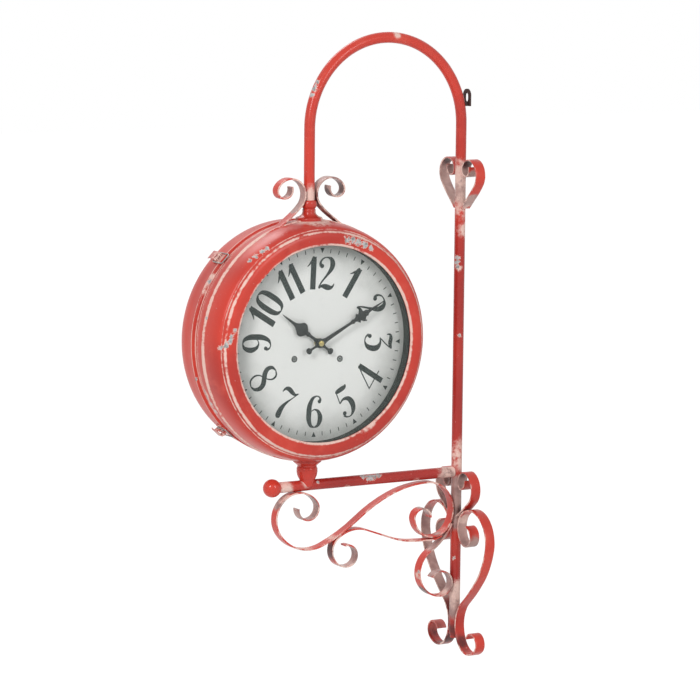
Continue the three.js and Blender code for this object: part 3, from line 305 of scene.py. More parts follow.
FIXED = "hanger_and_front_half"
HANGER_PLACE = Matrix.Translation((POST_X, 0, ARM_Z))
UPRIGHT = Matrix.Rotation(pi / 2, 4, "X")
LEG_X = POST_X - LEG_TO_POST
tube_paint = paint(
    "hanger_paint", dust=0.04, gloss=0.26,
    rubs=[
        (LEG_X, 0, -172, 52), (-11, -4, -135, 52), (-7, -9, -190, 45),
        (-5, -8, -235, 30), (-7, -9, -635, 50), (-9, -7, -885, 50),
        (-18, -8, -300, 12), (-150, -4, 112, 14),
    ],
    primer=[
        (-11, -6, -160, 40, 0), (-12.8, -6, -700, 45, 0), (-12, -4, -745, 40, 0),
        (-10, -6, -900, 50, 0),
    ],
    # Maroon painted shadow beside the scrolls, and painted shade as a deeper red down the post.
    dark=[(-10, -2, -735, 20, 0), (-10, 0, -950, 28, 0)],
    deep=[(-12.8, 0, -360, 220), (-12.8, 0, -540, 200), (-12.8, 0, -860, 120)],
    chips=[
        (-312.1, -4, 23.5, 13), (-306.5, -4, 35, 10), (-316.5, -4, 12, 10),
        (-20.8, -5, -281, 11), (-20.8, -5, -289.5, 12), (-20, -6, -298, 10),
        (-16.5, -9, -420, 7), (-20, -6, -820, 8),
    ])
hanger_bend = bent(
    round_outline(TUBE_RADIUS), (-LEG_TO_POST, ARM_TO_LEG_END), 90,
    [(ARM_TO_ARCH - ARM_TO_LEG_END, 0), (ARCH_RADIUS, -180), (ARM_TO_ARCH + ARM_TO_POST_END, 0)],
    step=3)
post_end = [f for f in hanger_bend.faces if len(f.verts) > 4]
bmesh.ops.inset_individual(hanger_bend, faces=post_end, thickness=TUBE_WALL, depth=0)
bmesh.ops.inset_individual(hanger_bend, faces=post_end, thickness=0.01, depth=-OPEN_END_DEPTH)
finished(hanger_bend, "hanger_tube", FIXED, tube_paint, HANGER_PLACE @ UPRIGHT)

# ---- arm and its ball ----
# The arm is the same tube, notched to the post and welded to it, and a forged ball closes
# its free end. The weld and both ends are rubbed pale, and painted shade turns the arm a
# deeper red along its length.

ARM_END = -374
BALL_RADIUS = 16
arm_paint = paint(
    "arm_paint", dust=0.08, gloss=0.26,
    rubs=[(-364, -4, -665, 24), (-323, -5, -656, 20), (-30, -6, -664, 45),
          (-240, -4, -673, 12), (-100, -4, -673, 14)],
    primer=[(-20, -4, -668, 50, 0), (-360, 0, -672, 20, 0)],
    # Painted shade as a deeper red along the arm.
    deep=[(-120, 0, -675, 160), (-260, 0, -675, 140)],
    chips=[(-208.5, -5.1, -657.1, 13), (-197.5, -7.3, -659.4, 14), (-188, -7.3, -659.4, 13),
           (-178, -5.3, -657.4, 11), (-300, -8, -660, 6)])
arm_bend = bent(round_outline(TUBE_RADIUS), (ARM_END, 0), 0, [(-ARM_END - 8, 0)])
finished(arm_bend, "arm_tube", FIXED, arm_paint, HANGER_PLACE)
ball = bmesh.new()
bmesh.ops.create_uvsphere(ball, u_segments=48, v_segments=32, radius=BALL_RADIUS)
bmesh.ops.translate(ball, verts=ball.verts, vec=(ARM_END, 0, 0))
ball_paint = paint("ball_paint", dust=0.0, gloss=0.16, rubs=[(ARM_END + POST_X + 15, 0, ARM_Z, 7)])
finished(ball, "arm_ball", FIXED, ball_paint, HANGER_PLACE)

# ---- hanging eye ----
# A 3 mm plate with a tall hole for the wall hook, welded to the back of the post and left
# in its dark undercoat. Its edges are eased with a file.


def rounded(mesh, geom, width, segments, affect="EDGES"):
    bmesh.ops.bevel(
        mesh, geom=geom, offset=width, offset_type="OFFSET", segments=segments, profile=0.5,
        affect=affect, clamp_overlap=True, material=-1)


def eased(node, width, angle=30):
    """A copy of a CAD node as one closed skin with its edges rounded over."""
    mesh = bmesh.new()
    mesh.from_mesh(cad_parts[node].data)
    bmesh.ops.transform(mesh, matrix=Matrix.Scale(1 / MM, 4), verts=mesh.verts)
    bmesh.ops.remove_doubles(mesh, verts=mesh.verts, dist=0.01)
    bmesh.ops.dissolve_limit(mesh, angle_limit=radians(2), verts=mesh.verts, edges=mesh.edges)
    sharp = [e for e in mesh.edges if e.is_convex and e.calc_face_angle(0) > radians(angle)]
    rounded(mesh, sharp, width, 3)
    return mesh


def metal(name, colour, dark, roughness, metallic=1.0, scale=60):
    """Bare or blackened metal with a drifting tone, fine scratches and a little relief."""
    recipe = Recipe(name, Metallic=metallic)
    drift = recipe.noise(scale, 4)
    fine = recipe.noise(scale * 9, 5, 0.7)
    recipe.link("Base Color", recipe.blend(recipe.step(drift, 0.35, 0.7), colour, dark))
    recipe.rough(fine, roughness - 0.08, roughness + 0.12)
    recipe.bump(fine, 0.2, 0.0002)
    return recipe.material


dark_iron = metal("eye_iron", shade(70, 44, 40), shade(42, 28, 26), 0.6, 0.3)
finished(eased("hanging_eye", 0.5), "hanging_eye", FIXED, dark_iron)

# ---- scrolls under the arm ----
# Three scrolls bent cold from 19 by 3 mm steel strip and tacked together: a long S under
# the arm, a link that curls out of it, and a small one on the post. Their edges are rubbed
# pale, and the pale edge lines also paint the sheen they catch; maroon painted shadow
# darkens them inside the curls and beside the post.

STRIP_WIDTH = 19
STRIP_THICKNESS = 3


def strip_outline(width=STRIP_WIDTH, thickness=STRIP_THICKNESS, ease=0.8):
    """The strip's section, with eased corners and lines along its faces."""
    half, thin, cut = width / 2, thickness / 2, ease / 4
    side = [(thin, up) for up in (-half + ease, -half / 2, 0, half / 2, half - ease)]
    side += [(thin - cut, half - cut), (thin - ease, half)]
    foot = [(-thin + cut, -half + cut), (-thin + ease, -half), (thin - ease, -half),
            (thin - cut, -half + cut)]
    return [*side, *[(-x, y) for x, y in reversed(side)], *foot]


def seated(mesh, axis, side, place):
    """Slides a strip along one axis until its outermost edge is at a place."""
    reach = max(side * v.co[axis] for v in mesh.verts)
    shift = Vector((0, 0, 0))
    shift[axis] = place - side * reach
    bmesh.ops.translate(mesh, verts=mesh.verts, vec=shift)
    return mesh


SURFACE = TUBE_RADIUS + 0.3
ARM_PLANE_EDGE = (1, 0, STRIP_WIDTH / 2)
arm_scroll = bent(strip_outline(), (-323, -37), -94, [
    (20, 221), (44, 100), (46, 79), (71, 76), (298, 16),
    (276, -16), (197, -22), (53, -120), (39, -140), (17, -189)], step=4)
seated(seated(arm_scroll, 0, 1, -SURFACE), 1, 1, -SURFACE)
post_scroll = bent(
    strip_outline(STRIP_WIDTH - 0.2), (-12, -92), -115,
    [(104, -35), (45, 58), (44, 95), (22, 233)], step=4)
seated(post_scroll, 0, 1, -SURFACE)
link_scroll = bent(
    strip_outline(STRIP_WIDTH - 0.4), (-231, -112.4), 13,
    [(19, -184), (29, -149), (60, -60), (57, 0), (148, 18), (30, 0), (50, 30)], step=4)
# The dark spots of these three are maroon painted shadow inside the curls and by the post.
arm_scroll_paint = paint(
    "arm_scroll_paint", ARM_PLANE_EDGE, dust=0.24,
    rubs=[(-365, 0, -684, 22), (-300, 0, -676, 20), (-325, 0, -772, 30), (-270, 0, -765, 20),
          (-87, 0, -776, 18), (-34, 0, -775, 20)],
    primer=[(-310, 0, -702, 40, 1), (-333, 0, -712, 25, 0), (-372, 0, -690, 25, 0),
            (-335, 0, -775, 22, -1), (-77, 0, -724, 26, 0), (-88, 0, -776, 14, 0),
            (-50, 0, -785, 22, 0)],
    dark=[(-322, 0, -742, 18, 1), (-30, 0, -690, 14, -1)])
post_scroll_paint = paint(
    "post_scroll_paint", ARM_PLANE_EDGE, dust=0.22,
    rubs=[(-70, 0, -790, 20), (-92, 0, -845, 12), (-40, 0, -880, 20)],
    primer=[(-45, 0, -795, 42, 0), (-30, 0, -862, 32, 0), (-55, 0, -846, 20, 0)],
    dark=[(-80, 0, -876, 20, 0)],
    chips=[(-93.5, -6, -838, 7), (-94.5, -6, -850, 7), (-93.5, -6, -860, 6)])
link_scroll_paint = paint(
    "link_scroll_paint", ARM_PLANE_EDGE, dust=0.26,
    rubs=[(-250, 0, -800, 14), (-110, 0, -775, 20)],
    primer=[(-224, 0, -800, 32, 0), (-250, 0, -818, 24, 0)],
    dark=[(-277, 0, -787, 34, 0), (-226, 0, -785, 14, 1)])
for name, scroll, finish in (
        ("arm_scroll", arm_scroll, arm_scroll_paint),
        ("post_scroll", post_scroll, post_scroll_paint),
        ("link_scroll", link_scroll, link_scroll_paint)):
    finished(scroll, name, FIXED, finish, HANGER_PLACE @ UPRIGHT)

# ---- scrolls against the wall ----
# Two hearts and a lyre, each a mirrored pair of the same strip, welded edge on to the post
# with one edge against the wall. The far ones have only a dusty top coat, and maroon painted
# shadow darkens the feet, the strips by the post and the insides of the curls.

WALL_PLANE_EDGE = (0, -STRIP_WIDTH / 2, STRIP_WIDTH / 2)
WALL_SCROLLS = {
    "upper_heart": ((10, 471), 43, [(37, 0), (149, 10), (26, 112), (25, 67), (12, 241)]),
    "lower_heart": ((10, -78), 32, [(307, 9), (30, 119), (19, 127), (9, 118), (28, 34)]),
    "lyre": ((36, -93), -5, [
        (18, -213), (34, -111), (50, -71), (53, -64), (149, -25),
        (353, -11), (56, 80), (37, 102), (17, 208)]),
}
WALL_MIDDLE = -STRIP_WIDTH / 2
# Where the coral top coat missed the strips: (out from the post, height, reach, face).
MISSED = {
    "upper_heart": [(20, -125, 55, 1), (45, -150, 60, 1), (30, -182, 30, 0), (30, -135, 20, 0)],
    "lower_heart": [(30, -700, 90, 1), (14, -684, 28, 0), (18, -740, 32, 0)],
    "lyre": [(10, -775, 55, -1), (45, -785, 30, 0), (95, -800, 90, -1), (60, -870, 70, -1)],
}
# Where maroon painted shadow darkens them, shaded by the post or inside a curl, in the same order.
SHADOWED = {
    "upper_heart": [(22, -113, 24, 1)],
    "lower_heart": [(30, -672, 20, 1)],
    "lyre": [(12, -978, 34, 0), (30, -995, 24, 0)],
}
BACK_MISSED = {
    "upper_heart": [(55, -160, 60, 0)],
    "lower_heart": [(60, -710, 50, 0)],
    "lyre": [(90, -800, 90, 0), (50, -870, 60, 0)],
}
# More maroon painted shadow on the far copies, in the same order.
BACK_SHADOWED = {
    "upper_heart": [(45, -118, 20, 1)],
    "lower_heart": [(40, -690, 20, 1), (20, -740, 30, 1)],
    "lyre": [(95, -990, 55, 0), (30, -930, 50, 0), (50, -1000, 40, 0)],
}


def along_wall(spots, side):
    return [(WALL_MIDDLE, side * out, height, reach, face) for out, height, reach, face in spots]


for name, (start, heading, bends) in WALL_SCROLLS.items():
    for end, side in (("front", -1), ("back", 1)):
        scroll = seated(bent(strip_outline(), start, heading, bends, step=4), 0, -1, SURFACE)
        basis = Matrix(((0, 0, side, 0), (side, 0, 0, 0), (0, 1, 0, 0), (0, 0, 0, 1)))
        across = Matrix.Translation((-STRIP_WIDTH / 2, 0, ARM_Z)) @ basis
        missed = MISSED[name] + (BACK_MISSED[name] if side > 0 else [])
        # Spots of maroon painted shadow, with more of them on the far copy.
        shadowed = SHADOWED[name] + (BACK_SHADOWED[name] if side > 0 else [])
        wall_paint = paint(
            f"{name}_{end}_paint", WALL_PLANE_EDGE, dust=0.18 if side < 0 else 0.34,
            primer=along_wall(missed, side), dark=along_wall(shadowed, side),
            rubs=[(WALL_MIDDLE, side * 12, -190, 20), (WALL_MIDDLE, side * 20, -745, 22),
                  (WALL_MIDDLE, side * 30, -930, 22)])
        finished(scroll, f"{name}_{end}", FIXED, wall_paint, across)

# ---- drum shells ----
# Two pressed steel half shells that meet at a seam 27 mm behind the leg. The front one has
# a raised ridge band that carries collar and finial, both have a rolled bead by the seam,
# and the paint on every raised line is rubbed to a pale stripe, which is also painted
# highlight along the line.

DRUM_SIDES = 180
RIDGE_RADIUS = 210
DRUM = Matrix.Translation(DRUM_PLACE / MM)


def turned(profile, sides=DRUM_SIDES, closed=True, axis="Y"):
    """Revolves (radius, place) or (radius, place, rounding) points about the Y or Z axis."""
    mesh = bmesh.new()
    points = [mesh.verts.new((p[0], p[1], 0) if axis == "Y" else (p[0], 0, p[1])) for p in profile]
    pairs = zip(points, points[1:] + points[:1] if closed else points[1:])
    for pair in pairs:
        mesh.edges.new(pair)
    for point, corner in zip(points, profile):
        if len(corner) == 3:
            rounded(mesh, [point], corner[2], 4, "VERTICES")
    bmesh.ops.spin(
        mesh, geom=[*mesh.verts, *mesh.edges], cent=(0, 0, 0),
        axis=(0, 1, 0) if axis == "Y" else (0, 0, 1), angle=2 * pi, steps=sides, use_merge=True,
        use_duplicate=False)
    bmesh.ops.remove_doubles(mesh, verts=mesh.verts, dist=0.001)
    bmesh.ops.dissolve_degenerate(mesh, edges=mesh.edges, dist=0.0001)
    return mesh


def quarter(from_radius, from_y, to_radius, to_y, count=12):
    """Points round the shell's shoulder, from the bezel's seat to the drum's side."""
    wide, deep = to_radius - from_radius, to_y - from_y
    turns = [pi / 2 * i / count for i in range(count + 1)]
    return [(from_radius + wide * sin(turn), from_y + deep * (1 - cos(turn))) for turn in turns]


def rolled_bead(y, radius=205, height=3.3, width=7, count=8):
    half = width / 2
    turns = [pi * i / count for i in range(1, count)]
    waves = [(radius + height * sin(turn) ** 0.8, y - half * cos(turn)) for turn in turns]
    return [(radius, y - half, 0.6), *waves, (radius, y + half, 0.6)]


front_profile = [
    (191.5, -53.7, 0.4), *quarter(197, -53.7, 208.5, -10.6), (208.9, -10.2, 0.4), (210, -9.4, 0.6),
    (210.2, 0), (210, 9.6, 0.9), (205.2, 10.4, 0.5), *rolled_bead(15), (205, 25.4),
    (204.6, 26.8, 0.4), (202.5, 26.8), (202.5, -30.7), (180, -30.7, 0.3), (180, -33.2, 0.3),
    (202.3, -33.2), (199.5, -43), (197, -50.9), (191.5, -50.9)]
rear_profile = [
    (202.5, 27.2), (204.6, 27.2, 0.4), (205, 28.6), *rolled_bead(36),
    *reversed(quarter(197, 89.7, 205, 61.7)), (191.5, 89.7, 0.4), (191.5, 87.2), (197, 87.2),
    (200.5, 76), (202.3, 69.2), (180, 69.2, 0.3), (180, 66.7, 0.3), (202.5, 66.7)]
# The rings are pale stripes of rubbed paint and painted highlight on the raised lines.
front_paint = paint(
    "front_shell_paint", dust=0.05, gloss=0.32,
    rings=[(209.6, -8.8, 7.5), (210, 9.6, 2.6), (208, 15, 1.4), (205, 26.8, 2), (197.5, -53, 1.6)],
    rubs=[(-317.8, -30, -204, 40), (-335, -10, -201, 40), (-300, -15, -203, 30),
          (-318, -30, -618, 20), (-507, 13, -495, 20)],
    chips=[(-455.7, -43.2, -262.2, 9), (-446.5, -46.5, -255, 10), (-435.7, -48.6, -247.3, 10),
           (-426.4, -49.2, -242.6, 9), (-520, -9.5, -359.6, 6), (-510, 15.3, -488.7, 12),
           (-504.5, 14.7, -501.1, 13), (-502.3, 7.5, -510.1, 12), (-494.9, 3.5, -522.6, 11),
           (-515.2, -52.1, -405.8, 10)])
rear_paint = paint(
    "rear_shell_paint", dust=0.05, gloss=0.32,
    rings=[(205, 27.2, 2.2), (208.3, 36, 1.7), (205, 39.8, 1.2), (197.5, 89.5, 3)],
    rubs=[(-488.1, 32.8, -297.7, 14), (-497.4, 33.3, -309.3, 14), (-504.5, 34.3, -321, 12),
          (-460, 40, -560, 14)],
    chips=[(-492.6, 33, -303.5, 9), (-516, 36, -470, 8)])
finished(turned(front_profile), "front_shell", FIXED, front_paint, DRUM, 28)
finished(turned(rear_profile), "rear_shell", "rear_half", rear_paint, DRUM, 28)

# ---- collar, finial and their bolts ----
# Turned from bar: the collar holds the leg's end over the drum and the finial stands
# between drum and arm. A flanged bolt through the ridge, headed inside, holds each.

bead_turns = [radians(degrees) for degrees in range(-84, 90, 12)]
collar_bead = [(9.8 + 3.6 * cos(turn), 235.8 + 7 * sin(turn)) for turn in bead_turns]
collar_profile = [
    (0, 206), (23.5, 206), (23.5, 211.4, 0.6), (22.6, 213.2, 0.6), (17, 215.2, 1.5),
    (12.6, 218.5, 2), (11.3, 222.5), (11.6, 226, 1), (10.4, 228.4, 0.3),
    *collar_bead, (9.7, 243), (0, 243)]
collar_paint = paint(
    "collar_paint", dust=0.05, gloss=0.18,
    rubs=[(-339, 12, -198, 26), (-296.5, -12, -198, 22), (-331, 7.5, -187, 17),
          (-305, -8.5, -187, 15), (-317.8, 12, -187, 14), (-332, 9, -175, 14),
          (-303.5, -9, -175, 12), (-317.8, 0, -166, 13)])
collar = turned(collar_profile, 64, False, "Z")
finished(collar, "top_collar", FIXED, collar_paint, DRUM)
finial_profile = [
    (0, -255), (11, -255), (12.4, -249), (13.2, -244.4, 1), (15.6, -240), (17.6, -235),
    (18.4, -229.5), (18.3, -224), (17.6, -221.5, 1), (16.6, -220.2, 0.5), (18.2, -217.5, 1),
    (22, -214.2, 1.5), (25.2, -211.6, 0.8), (25.4, -206), (0, -206)]
finial_paint = paint("finial_paint", dust=0.0, gloss=0.16, rubs=[(-317.8, 0, -667, 12)])
finial = turned(finial_profile, 64, False, "Z")
finished(finial, "bottom_finial", FIXED, finial_paint, DRUM)
bolt_steel = metal("bolt_steel", shade(176, 176, 172), shade(128, 128, 126), 0.35)
bolt_profile = [
    (0, 195.2), (7.2, 195.2, 0.6), (8, 196, 0.3), (8, 199.2), (12, 199.2, 0.4), (12, 201),
    (4, 201), (4, 222), (0, 222)]
for name, turn in (("hanging_bolt", 0), ("finial_bolt", pi)):
    bolt = turned(bolt_profile, 36, False, "Z")
    finished(bolt, name, FIXED, bolt_steel, DRUM @ Matrix.Rotation(turn, 4, "X"))

# ---- scrolls on the drum ----
# A pair of 19 by 3 mm steel strips curled over beside the leg, their tails welded down on
# the ridge band. Both are dusty, and maroon painted shadow darkens them where the leg and
# their own curls shade them.

# Each one's turn about the drum, its spots of primer and its spots of maroon painted shadow.
TOP_SPOTS = {
    "top_scroll_right": (0, [(-278, 0, -142, 56, 0), (-285, 0, -190, 40, 0)], [
        (-298, 0, -165, 32, 0), (-262, 0, -150, 22, 1), (-281, 0, -156, 16, 0),
        (-270, 0, -195, 34, -1)]),
    "top_scroll_left": (pi, [(-340, 0, -158, 40, 1), (-345, 0, -180, 20, 0)], [
        (-363, 0, -149, 12, 0), (-335, 0, -165, 30, -1)]),
}
for name, (turn, primed, shadowed) in TOP_SPOTS.items():
    scroll = bent(strip_outline(), (38, 57), -107, [
        (15, 129), (13, 99), (28, 93), (28, 97), (130, 12), (33, 0)], step=4)
    seated(scroll, 0, -1, SURFACE)
    top_paint = paint(
        f"{name}_paint", ARM_PLANE_EDGE, dust=0.15, primer=primed, dark=shadowed,
        rubs=[(-317.8, 0, -187, 24)])
    place = DRUM @ Matrix.Rotation(turn, 4,
                                   "Z") @ Matrix.Translation((0, 0, RIDGE_RADIUS)) @ UPRIGHT
    finished(scroll, name, FIXED, top_paint, place)

# ---- bezels ----
# A spun steel ring closes each mouth of the drum: a lip round the glass, a full convex face
# and a sharp step outside it. Lip and step are rubbed pale, the pale stripes also being
# painted highlight, and the front one is chipped.

bezel_profile = [
    (170, -58.6), (170, -60.6, 0.4), (171.2, -62.2, 0.6), (173.6, -62.4, 0.4), (176, -62.5),
    (179, -62.9), (183, -63), (187, -62.8), (190, -62.2), (192.2, -61.4), (193.3, -60.2, 0.6),
    (194.6, -58.6, 0.4), (195.8, -57), (197, -54, 0.3), (194, -54), (193, -58.6)]
REAR_SHIFT = 36
REAR = DRUM @ Matrix.Translation((0, REAR_SHIFT, 0)) @ Matrix.Rotation(pi, 4, "Z")
SIDES = {"front": (FIXED, DRUM), "rear": ("rear_half", REAR)}
# Pale stripes of rubbed paint and painted highlight on lip and step.
BEZEL_RINGS = [(170.8, -62, 5.6), (193.8, -60, 5), (197, -54, 1.4)]
for side, (body, place) in SIDES.items():
    rings = BEZEL_RINGS
    if side == "rear":
        rings = [(ring, REAR_SHIFT - y, reach) for ring, y, reach in BEZEL_RINGS]
    bezel_paint = paint(
        f"{side}_bezel_paint", dust=0.06, gloss=0.3, rings=rings,
        chips=[(-277, -63, -232.5, 12), (-266.5, -63, -233.5, 14), (-254.6, -63, -237.5, 14),
               (-242.6, -63, -242.5, 13), (-230.7, -63, -248.8, 10), (-510.1, -60.4, -400, 12),
               (-515.2, -52.1, -405.8, 12), (-503.8, -63, -395, 12), (-500.1, -63, -387, 10),
               (-494.4, -63, -376.9, 9)],
        rubs=[(-243, -62.5, -566.5, 11), (-236, -62.5, -563.5, 11), (-229, -62.5, -559, 11),
              (-222.5, -62.5, -554.5, 10)])
    finished(turned(bezel_profile), f"{side}_bezel", body, bezel_paint, place, 30)

# ---- glass, gasket and spacer ----
# A flat pane pressed against the bezel's lip by a rubber gasket. The spacer behind it is
# the wall of the recess between glass and dial, coloured near black as painted shade.

glass = Recipe("clear_glass", Base_Color=(0.3, 0.36, 0.34, 1), Alpha=0.06, IOR=1.5)
glass.rough(glass.noise(14, 3), 0.02, 0.06)
rubber = Recipe("gasket_rubber", Base_Color=shade(42, 42, 42))
rubber.rough(rubber.noise(90), 0.7, 0.9)
rubber.bump(rubber.noise(500, 3), 0.3, 0.0002)
# Near black painted shade for the recess wall, with a little drifting tone.
recess = Recipe("recess_painted_shade")
recess_tone = recess.step(recess.noise(30), 0.35, 0.7)
recess.link("Base Color", recess.blend(recess_tone, shade(46, 51, 47), shade(30, 33, 31)))
recess.rough(recess.noise(120, 5), 0.5, 0.65)
recess.bump(recess.noise(260, 4), 0.2, 0.0003)
for side, (body, place) in SIDES.items():
    pane = turned([(0, -57), (188, -57, 0.4), (188, -54, 0.4), (0, -54)], 120, False)
    finished(pane, f"{side}_glass", body, glass.material, place)
    seal = turned([(171, -58.3, 0.2), (188, -58.3, 0.2), (188, -57.3, 0.2), (171, -57.3, 0.2)], 120)
    finished(seal, f"{side}_gasket", body, rubber.material, place)
    wall = turned([
        (171, -53.7, 0.3), (188, -53.7, 0.3), (188, -51.2, 0.3), (173.5, -51.2, 0.5),
        (173.5, -35.3), (171, -35.3)], 120)
    finished(wall, f"{side}_dial_spacer", body, recess.material, place)

# ---- dials ----
# A thin steel disc with a matt printed paper face, greyed round its rim by painted shade
# from the recess. Its numerals stand upright all round: tops outwards from nine to three
# and inwards below.

DIAL_FRONT = -35
dial = Recipe("dial_paper")
out, _ = dial.round_drum()
blotch = dial.noise(16, 5, 0.6)
rim_shade = dial.math("ADD", out, dial.math("MULTIPLY", dial.math("SUBTRACT", blotch, 0.5), 0.09))
paper = shade(246, 247, 244)
# The first tone is painted shade, greying the paper towards its rim; the other two are smudges and
# specks.
for stain_and_shade, tone in (
        (dial.step(rim_shade, 0.105, 0.185, 0.0, 0.75), shade(170, 173, 168)),
        (dial.step(dial.noise(28, 6, 0.7), 0.58, 0.8, 0.0, 0.45), shade(184, 187, 183)),
        (dial.step(dial.noise(240, 3), 0.6, 0.75, 0.0, 0.15), shade(196, 190, 178))):
    paper = dial.blend(stain_and_shade, paper, tone)
dial.link("Base Color", paper)
dial.rough(blotch, 0.72, 0.88)
dial.bump(dial.noise(700, 3), 0.12, 0.0002)


def pen(mesh, points, lift, joints=7):
    """Inks one stroke through (x, y, half width) points as a flat ribbon."""
    knots = [Vector(point) for point in points]
    line = []
    for i, (first, second) in enumerate(zip(knots, knots[1:])):
        before, after = knots[max(i - 1, 0)], knots[min(i + 2, len(knots) - 1)]
        leaving, arriving = first + (second - before) / 6, second - (after - first) / 6
        line += interpolate_bezier(first, leaving, arriving, second, joints)[:-1]
    line.append(knots[-1])
    edge = None
    for i, point in enumerate(line):
        ahead, behind = line[min(i + 1, len(line) - 1)], line[max(i - 1, 0)]
        along = Vector((ahead.x - behind.x, ahead.y - behind.y)).normalized()
        off = Vector((-along.y, along.x)) * max(point.z, 0.0001)
        ends = [(point.x + off.x, lift, point.y + off.y), (point.x - off.x, lift, point.y - off.y)]
        if edge is None:
            edge = mesh.edges.new([mesh.verts.new(end) for end in ends])
            continue
        left, right = edge.verts
        pulled = bmesh.ops.extrude_edge_only(mesh, edges=[edge])["geom"]
        edge = next(g for g in pulled if isinstance(g, bmesh.types.BMEdge)
                    and left not in g.verts and right not in g.verts)
        pair = sorted(edge.verts, key=lambda v: (v.co - left.co).length)
        for vertex, end in zip(pair, ends):
            vertex.co = end


def dot(mesh, x, y, radius, lift):
    disc = bmesh.ops.create_circle(mesh, cap_ends=True, segments=24, radius=radius)["verts"]
    bmesh.ops.rotate(mesh, verts=disc, matrix=Matrix.Rotation(pi / 2, 3, "X"))
    bmesh.ops.translate(mesh, verts=disc, vec=(x, lift, y))


# Fat-faced numerals in a cell 1000 high: width, strokes through (x, y, half width) points,
# and (x, y, radius) dots.
NUMERALS = {
    "0": (460, [
        [(230, 985, 12), (120, 900, 50), (75, 700, 72), (70, 500, 76), (75, 300, 72),
         (120, 100, 50), (230, 15, 12)],
        [(230, 985, 12), (340, 900, 50), (385, 700, 72), (390, 500, 76), (385, 300, 72),
         (340, 100, 50), (230, 15, 12)]
    ], []),
    "1": (270, [
        [(170, 0, 82), (170, 300, 82), (170, 600, 82), (172, 900, 80), (200, 1000, 50)],
        [(0, 700, 6), (60, 780, 20), (140, 900, 35), (240, 1000, 12)]
    ], []),
    "2": (460, [
        [(60, 720, 50), (40, 830, 30), (110, 950, 18), (220, 985, 16), (330, 930, 50),
         (375, 790, 76), (340, 620, 60), (220, 420, 30), (100, 240, 20), (30, 100, 16),
         (20, 30, 12)],
        [(20, 30, 12), (90, 100, 35), (180, 90, 68), (290, 55, 70), (380, 70, 35), (440, 170, 10)]
    ], [(85, 720, 62)]),
    "3": (450, [
        [(50, 800, 8), (60, 920, 30), (150, 950, 55), (280, 930, 55), (400, 990, 12)],
        [(400, 985, 12), (300, 800, 14), (160, 600, 12), (130, 555, 12)],
        [(130, 560, 12), (250, 575, 30), (360, 480, 70), (385, 320, 78), (340, 130, 60),
         (220, 20, 18), (100, 50, 18), (50, 150, 40)]
    ], [(85, 190, 60)]),
    "4": (500, [
        [(335, 0, 75), (335, 300, 75), (335, 700, 75), (335, 980, 70)],
        [(330, 990, 12), (200, 720, 13), (20, 300, 13), (0, 265, 12)],
        [(0, 265, 12), (250, 265, 12), (500, 265, 12)]
    ], []),
    "5": (450, [
        [(80, 900, 10), (120, 920, 50), (240, 930, 66), (360, 940, 50), (410, 1000, 8)],
        [(100, 930, 12), (90, 750, 12), (75, 540, 12)],
        [(75, 540, 12), (200, 610, 30), (330, 540, 60), (375, 360, 78), (340, 160, 62),
         (220, 20, 18), (100, 50, 18), (50, 150, 40)]
    ], [(85, 190, 60)]),
    "6": (460, [
        [(370, 840, 40), (350, 940, 20), (260, 985, 14), (150, 900, 45), (80, 680, 70),
         (70, 450, 76), (75, 260, 70), (130, 80, 45), (230, 15, 12)],
        [(120, 500, 10), (220, 570, 14), (330, 500, 45), (385, 300, 72), (335, 90, 45),
         (230, 15, 12)]
    ], [(345, 820, 55)]),
    "7": (440, [
        [(20, 780, 8), (50, 900, 35), (140, 950, 62), (270, 910, 55), (360, 900, 30),
         (430, 980, 10)],
        [(430, 980, 10), (330, 740, 13), (240, 520, 35), (200, 320, 66), (200, 160, 78),
         (210, 70, 80)]
    ], [(210, 80, 80)]),
    "8": (460, [
        [(230, 985, 12), (120, 920, 40), (85, 770, 60), (140, 630, 70), (250, 520, 72),
         (360, 400, 70), (395, 240, 60), (340, 80, 35), (230, 15, 12)],
        [(230, 985, 12), (340, 930, 22), (375, 800, 22), (330, 660, 14), (230, 545, 12),
         (110, 430, 14), (60, 260, 22), (110, 80, 22), (230, 15, 12)]
    ], []),
    "9": (460, [
        [(90, 160, 40), (110, 60, 20), (200, 15, 14), (310, 100, 45), (380, 320, 70),
         (390, 550, 76), (385, 740, 70), (330, 920, 45), (230, 985, 12)],
        [(340, 500, 10), (240, 430, 14), (130, 500, 45), (75, 700, 72), (125, 910, 45),
         (230, 985, 12)]
    ], [(115, 180, 55)]),
}
NUMERAL_HEIGHT = 56
NUMERAL_CIRCLE = 120
NUMERAL_CELL = 1000
NUMERAL_GAP = 45
PRINT_TURN = 2.6
DIGIT_STRETCH = 1.28
STROKE_WEIGHT = 1.1
HAIRLINE = 5
STROKE_LIFT = -0.2
DOT_LIFT = -0.8
PRINT_LIFT = DIAL_FRONT - 0.12
# Half width, outer radius and inner radius of the marks round the numerals.
HOUR_MARK = (4.2, 163.5, 154.5)
MINUTE_TICK = (0.8, 162, 155)
ink = Recipe("dial_ink")
ink.rough(ink.noise(80), 0.62, 0.78)
ink_tone = ink.step(ink.noise(130, 4, 0.65), 0.5, 0.8, 0.0, 0.35)
ink.link("Base Color", ink.blend(ink_tone, shade(44, 51, 49), shade(84, 90, 87)))


